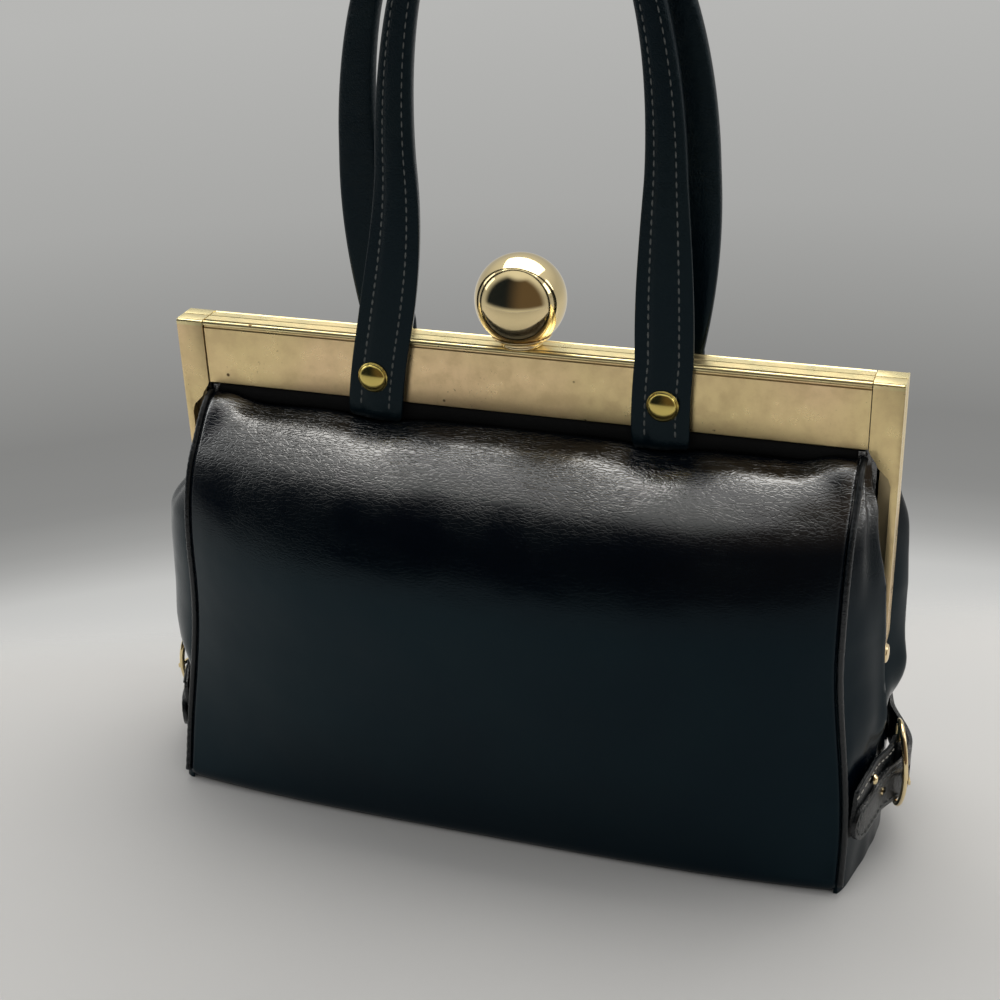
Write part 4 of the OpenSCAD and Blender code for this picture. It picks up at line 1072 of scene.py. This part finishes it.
def buckle_parts():
    n, sides = 120, 20
    path = []
    for i in range(n):
        p = 2 * math.pi * i / n
        x = bow * math.cos(math.pi / 2 * math.sin(p))
        path.append(Vector((x, ring_a * math.cos(p), belt_z + ring_b * math.sin(p))))
    rings = []
    for i, p in enumerate(path):
        u = (path[(i + 1) % n] - path[i - 1]).normalized()
        side = u.cross(Vector((1, 0, 0))).normalized()
        up = side.cross(u)
        rings.append([tuple(on_bar @ (p + a * side + b * up)) for a, b in circle(wire_r, sides)])
    ring = tube_parts(rings, closed=True)
    bar = turned([(wire_r, belt_z - ring_b + 0.2), (wire_r, belt_z + ring_b - 0.2)], 20, on_bar)
    return joined([ring, bar])

for end in ("left", "right"):
    buckle = add_mesh(f"{end}_oval_buckle", *buckle_parts(), polished_plating,
                      mirror_x=end == "left")
    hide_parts(f"{end}_buckle")
    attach(report(buckle), f"{end}_ring")

# %% [markdown]
# ## Metal parts
# The face plates are drawn again from their folded section, with the bead along the top. The
# corner covers have soft edges that catch the light, so they are clean copies with rounded edges.
# The ball, the cup and the rivet caps are turned shapes with smooth domes.

# %% Section of a face plate
bead_y, bead_z = -5.5, 184.85

def plate_section():
    line = [(-0.2, 185.2), (-0.2, 185.85), (-0.35, 186.0), (-4.05, 185.95), (-4.25, 185.8),
            (-4.4, 185.45)]
    for k in range(13):
        a = math.radians(-45 + 195 * k / 12)
        line.append((bead_y - math.sin(a), bead_z + math.cos(a)))
    line += [(-5.5, 183.75), (-5.5, 183.3), (-5.75, 183.0), (-5.9, 182.8), (-5.9, 160.5),
             (-5.8, 160.15), (-5.5, 160.0), (-5.0, 160.0), (-4.65, 160.3), (-4.65, 160.8),
             (-5.1, 161.1), (-5.1, 185.2)]
    return line

# %% Frame plates and arm covers
for side, half in HALVES:
    rings = [[(x, y, z) for y, z in plate_section()] for x in (-plate_x, plate_x)]
    plate = add_mesh(f"{side}_face_plate", *tube_parts(rings), champagne_plating,
                     mirror_y=side == "rear")
    crisp(plate, 32)
    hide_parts(f"{side}_plate")
    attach(plate, half)
    for end in ("left", "right"):
        cover = rounded_copy(f"{side}_{end}_corner_cover", f"{side}_{end}_arm_cover", 0.3, 3,
                             champagne_plating)
        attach(cover, half)

# %% Ball and cup
ball_r, ball_z, cup_t, rim_d = 17.0, 203.5, 0.7, 22.4

def smooth_ball():
    mesh = bpy.data.meshes.new("clasp_ball_shell")
    bm = bmesh.new()
    bmesh.ops.create_uvsphere(bm, u_segments=128, v_segments=64, radius=ball_r * MM)
    bmesh.ops.translate(bm, verts=bm.verts, vec=(0, 0, ball_z * MM))
    for face in bm.faces:
        face.smooth = True
    bm.to_mesh(mesh)
    bm.free()
    mesh.materials.append(polished_plating)
    return add_object("clasp_ball_shell", mesh)

ball = smooth_ball()
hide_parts("clasp_ball")
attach(report(ball), "front_half")

def cup_profile():
    out_r, in_r = ball_r + 0.05 + cup_t, ball_r + 0.05
    rim = math.asin(rim_d / 2 / out_r)
    foot_z, foot_r = frame_z + 0.1, 7.6
    inner = [(in_r * math.sin(a), ball_z - in_r * math.cos(a))
             for a in (rim * k / 14 for k in range(1, 15))]
    lip_r, lip_a = out_r - 0.2, rim + 0.03
    lip = [(lip_r * math.sin(lip_a), ball_z - lip_r * math.cos(lip_a) + 0.15)]
    start = math.asin(foot_r / out_r)
    outer = [(out_r * math.sin(a), ball_z - out_r * math.cos(a))
             for a in (rim - (rim - start) * k / 10 for k in range(11))]
    foot = [(foot_r + 0.3, foot_z + 1.0), (foot_r + 0.3, foot_z + 0.2), (foot_r, foot_z),
            (0.01, foot_z)]
    return [(0.01, ball_z - in_r)] + inner + lip + outer + foot

cup = add_mesh("clasp_cup_shell", *turned(cup_profile(), 96, Matrix.Identity(4)), polished_plating)
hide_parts("clasp_cup")
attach(report(cup), "front_half")

# %% Rivets
def dome_profile(rim_r, rim_h, dome_r, dome_h):
    profile = [(0.01, 0), (rim_r - 0.25, 0), (rim_r, 0.2), (rim_r, rim_h - 0.2),
               (rim_r - 0.25, rim_h), (dome_r + 0.15, rim_h)]
    for k in range(13):
        a = math.pi / 2 * k / 12
        profile.append((max(0.01, dome_r * math.cos(a)), rim_h + 0.1 + dome_h * math.sin(a)))
    return profile

strap_out, washer_x = 11.0, 139.5
cap_sizes, hinge_sizes = (6.0, 0.5, 5.6, 2.8), (4.15, 0.5, 3.7, 1.2)
hinge_pin = [(0.01, -5.2), (1.5, -5.2), (1.5, 0.1), (0.01, 0.1)]
for side, half in HALVES:
    parts = []
    for sign in (-1, 1):
        place = (Matrix.Translation((sign * rivet_x, -strap_out - 0.1, rivet_z))
                 @ Matrix.Rotation(math.radians(90), 4, "X"))
        parts.append(turned(dome_profile(*cap_sizes), 48, place))
    caps = add_mesh(f"{side}_rivet_caps", *joined(parts), brass_caps, mirror_y=side == "rear")
    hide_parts(f"{side}_handle_rivets")
    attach(report(caps), half)

parts = []
for sign in (-1, 1):
    place = (Matrix.Translation((sign * washer_x, 0, hinge_z))
             @ Matrix.Rotation(math.radians(90 * sign), 4, "Y"))
    parts.append(turned(dome_profile(*hinge_sizes), 40, place))
    parts.append(turned(hinge_pin, 24, place))
pins = add_mesh("hinge_rivet_pair", *joined(parts), polished_plating)
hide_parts("hinge_rivets")
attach(report(pins), "root")

# %% Finishes of the CAD parts that stay
steel_parts = ("front_frame", "rear_frame", "hinge_washers", "catch_spring", "catch_rivets",
               "front_rivet_washers", "rear_rivet_washers")
gilt_parts = ("clasp_stud", "left_buckle_prong", "right_buckle_prong", "left_belt_rivet",
              "right_belt_rivet", "belt_eyelets")
for names, material in ((steel_parts, lacquered_steel), (gilt_parts, polished_plating),
                        (("base_board",), grey_board)):
    for name in names:
        part = bpy.data.objects[name]
        for slot in part.material_slots:
            slot.material = material
        if not part.material_slots:
            part.data.materials.append(material)
print("CAD parts finished")

# %% [markdown]
# ## Floor, background and light
# The floor is pale paper. Behind the bag and far in front it fades into the background, which is
# the world's own colour, so that every view finds plain paper and nothing stands in the way of
# the camera. The world shows three faces: the camera sees the grey backdrop with a painted soft
# shadow band below the horizon, reflections see a pale tent with a dim room in front of the bag,
# and the leather is lit by an even white.

# %% Floor
def floor_material():
    m, t, shader, where = new_material("pale_paper", Roughness=0.75, Specular_IOR_Level=0.3)
    fibre = mottle(t, where, 9.0, 2.0)["Fac"]
    set_up(t, shader, Base_Color=mix_colour(t, fibre, (0.55, 0.55, 0.55), (0.59, 0.59, 0.585)))
    away = node(t, "VectorMath", operation="DOT_PRODUCT", Vector=where)
    away.inputs[1].default_value = (-0.3337, 0.9427, 0)
    behind = span(t, away.outputs["Value"], 0.075, 0.135)
    far = node(t, "VectorMath", operation="LENGTH", Vector=where)
    edge = span(t, far.outputs["Value"], 0.85, 1.1)
    front = span(t, node(t, "SeparateXYZ", Vector=where).outputs["Y"], -0.75, -0.92)
    fade = math_node(t, "MAXIMUM", math_node(t, "MAXIMUM", behind, edge), front)
    blend = node(t, "MixShader", Fac=fade)
    t.links.new(shader.outputs[0], blend.inputs[1])
    t.links.new(node(t, "BsdfTransparent").outputs[0], blend.inputs[2])
    set_up(t, t.nodes["Material Output"], Surface=blend.outputs[0])
    return m

floor_half = 1.2
mesh = bpy.data.meshes.new("paper_floor")
corners = ((-1, -1), (1, -1), (1, 1), (-1, 1))
mesh.from_pydata([(floor_half * x, floor_half * y, 0) for x, y in corners], [], [(0, 1, 2, 3)])
mesh.materials.append(floor_material())
floor = add_object("paper_floor", mesh)

# %% Background
# Painted shadow: the backdrop tones dip to a dark band between -0.46 and -0.29, a soft shadow
# painted on the backdrop.
backdrop_tones = ((-1.0, 0.56), (-0.53, 0.57), (-0.50, 0.62), (-0.477, 0.55), (-0.457, 0.345),
                  (-0.435, 0.25), (-0.40, 0.23), (-0.29, 0.39), (-0.18, 0.47), (0.05, 0.50),
                  (1.0, 0.80))
tent_tones = ((-1.0, 0.60), (-0.3, 0.58), (-0.05, 0.46), (0.2, 0.45), (0.5, 0.60), (1.0, 0.80))
cold_wall, warm_wall, even_light = (0.010, 0.014, 0.019), (0.110, 0.080, 0.052), 0.49

def paper_world():
    world = bpy.data.worlds.new("paper_tent")
    world.use_nodes = True
    tree = world.node_tree
    tree.nodes.clear()
    way = node(tree, "SeparateXYZ", Vector=node(tree, "TexCoord").outputs["Generated"]).outputs
    place = math_node(tree, "MULTIPLY", math_node(tree, "ADD", way["Z"], 1.0), 0.5)

    def ramp(tones):
        made = tree.nodes.new("ShaderNodeValToRGB")
        marks = made.color_ramp.elements
        while len(marks) < len(tones):
            marks.new(0.5)
        for mark, (z, grey) in zip(marks, tones):
            mark.position = (z + 1) / 2
            mark.color = (grey, grey, grey * 0.975, 1)
        tree.links.new(place, made.inputs[0])
        return made.outputs["Color"]

    backdrop, tent = ramp(backdrop_tones), ramp(tent_tones)
    tall = math_node(tree, "MULTIPLY", span(tree, way["Z"], -0.20, -0.02),
                     span(tree, way["Z"], 0.985, 0.86))
    room = math_node(tree, "MULTIPLY", span(tree, way["Y"], -0.08, -0.40), tall)
    walls = mix_colour(tree, span(tree, way["X"], -0.45, 0.40), cold_wall, warm_wall)
    ray = node(tree, "LightPath").outputs
    bent = math_node(tree, "ADD", ray["Is Glossy Ray"], ray["Is Transmission Ray"])
    seen = math_node(tree, "ADD", ray["Is Camera Ray"], bent, use_clamp=True)
    tone = mix_colour(tree, ray["Is Camera Ray"], mix_colour(tree, room, tent, walls), backdrop)
    lit = node(tree, "Background", Color=(1.0, 0.99, 0.97, 1), Strength=even_light)
    pick = node(tree, "MixShader", Fac=seen)
    tree.links.new(lit.outputs[0], pick.inputs[1])
    tree.links.new(node(tree, "Background", Color=tone).outputs[0], pick.inputs[2])
    node(tree, "OutputWorld", Surface=pick.outputs[0])
    return world

bpy.context.scene.world = paper_world()
print("world:", bpy.context.scene.world.name)

# %% Lamps
def softbox(name, place, target, size_x, size_y, radiance, colour):
    light = bpy.data.lights.new(name, "AREA")
    light.shape = "RECTANGLE"
    light.size, light.size_y = size_x, size_y
    light.energy = radiance * math.pi * size_x * size_y
    light.color = colour
    obj = add_object(name, light)
    obj.location = place
    obj.rotation_euler = (Vector(target) - Vector(place)).to_track_quat("-Z", "Y").to_euler()

softbox("overhead_window", (0.0, 0.62, 1.20), (0, 0.50, 0.1), 1.5, 1.00, 3.2, (1.0, 0.97, 0.92))
softbox("left_panel", (-1.2, 0.1, 0.75), (0, 0, 0.1), 0.5, 0.6, 1.4, (0.97, 0.99, 1.0))
softbox("right_panel", (1.3, 0.35, 0.8), (0, 0, 0.1), 0.5, 0.6, 2.4, (1.0, 0.99, 0.97))
print("three lamps")

# %% [markdown]
# ## Camera
# The camera's place and lens were fitted to the frame's edges in the photograph, with the frame
# taken as 280 mm long. It stands to the right of the front and looks down on the bag by about 27
# degrees.

# %% Camera
camera_place, focal, sensor = (0.1851413, -0.5541458, 0.4159933), 60.917, 36.0
az, el, roll = 0.3401, 0.4667, -0.0378
ahead = Vector((-math.sin(az) * math.cos(el), math.cos(az) * math.cos(el), -math.sin(el)))
right = ahead.cross(Vector((0, 0, 1))).normalized()
up = right.cross(ahead)
side = math.cos(roll) * right + math.sin(roll) * up
top = -math.sin(roll) * right + math.cos(roll) * up
camera_data = bpy.data.cameras.new("camera")
camera_data.lens, camera_data.sensor_width = focal, sensor
camera_data.clip_start, camera_data.clip_end = 0.05, 20
camera = add_object("camera", camera_data)
turn = Matrix((side, top, -ahead)).transposed().to_4x4()
camera.matrix_world = Matrix.Translation(camera_place) @ turn
bpy.context.scene.camera = camera
bpy.context.scene.view_settings.view_transform = "Standard"
print("camera", round(camera_data.lens, 1), "mm")
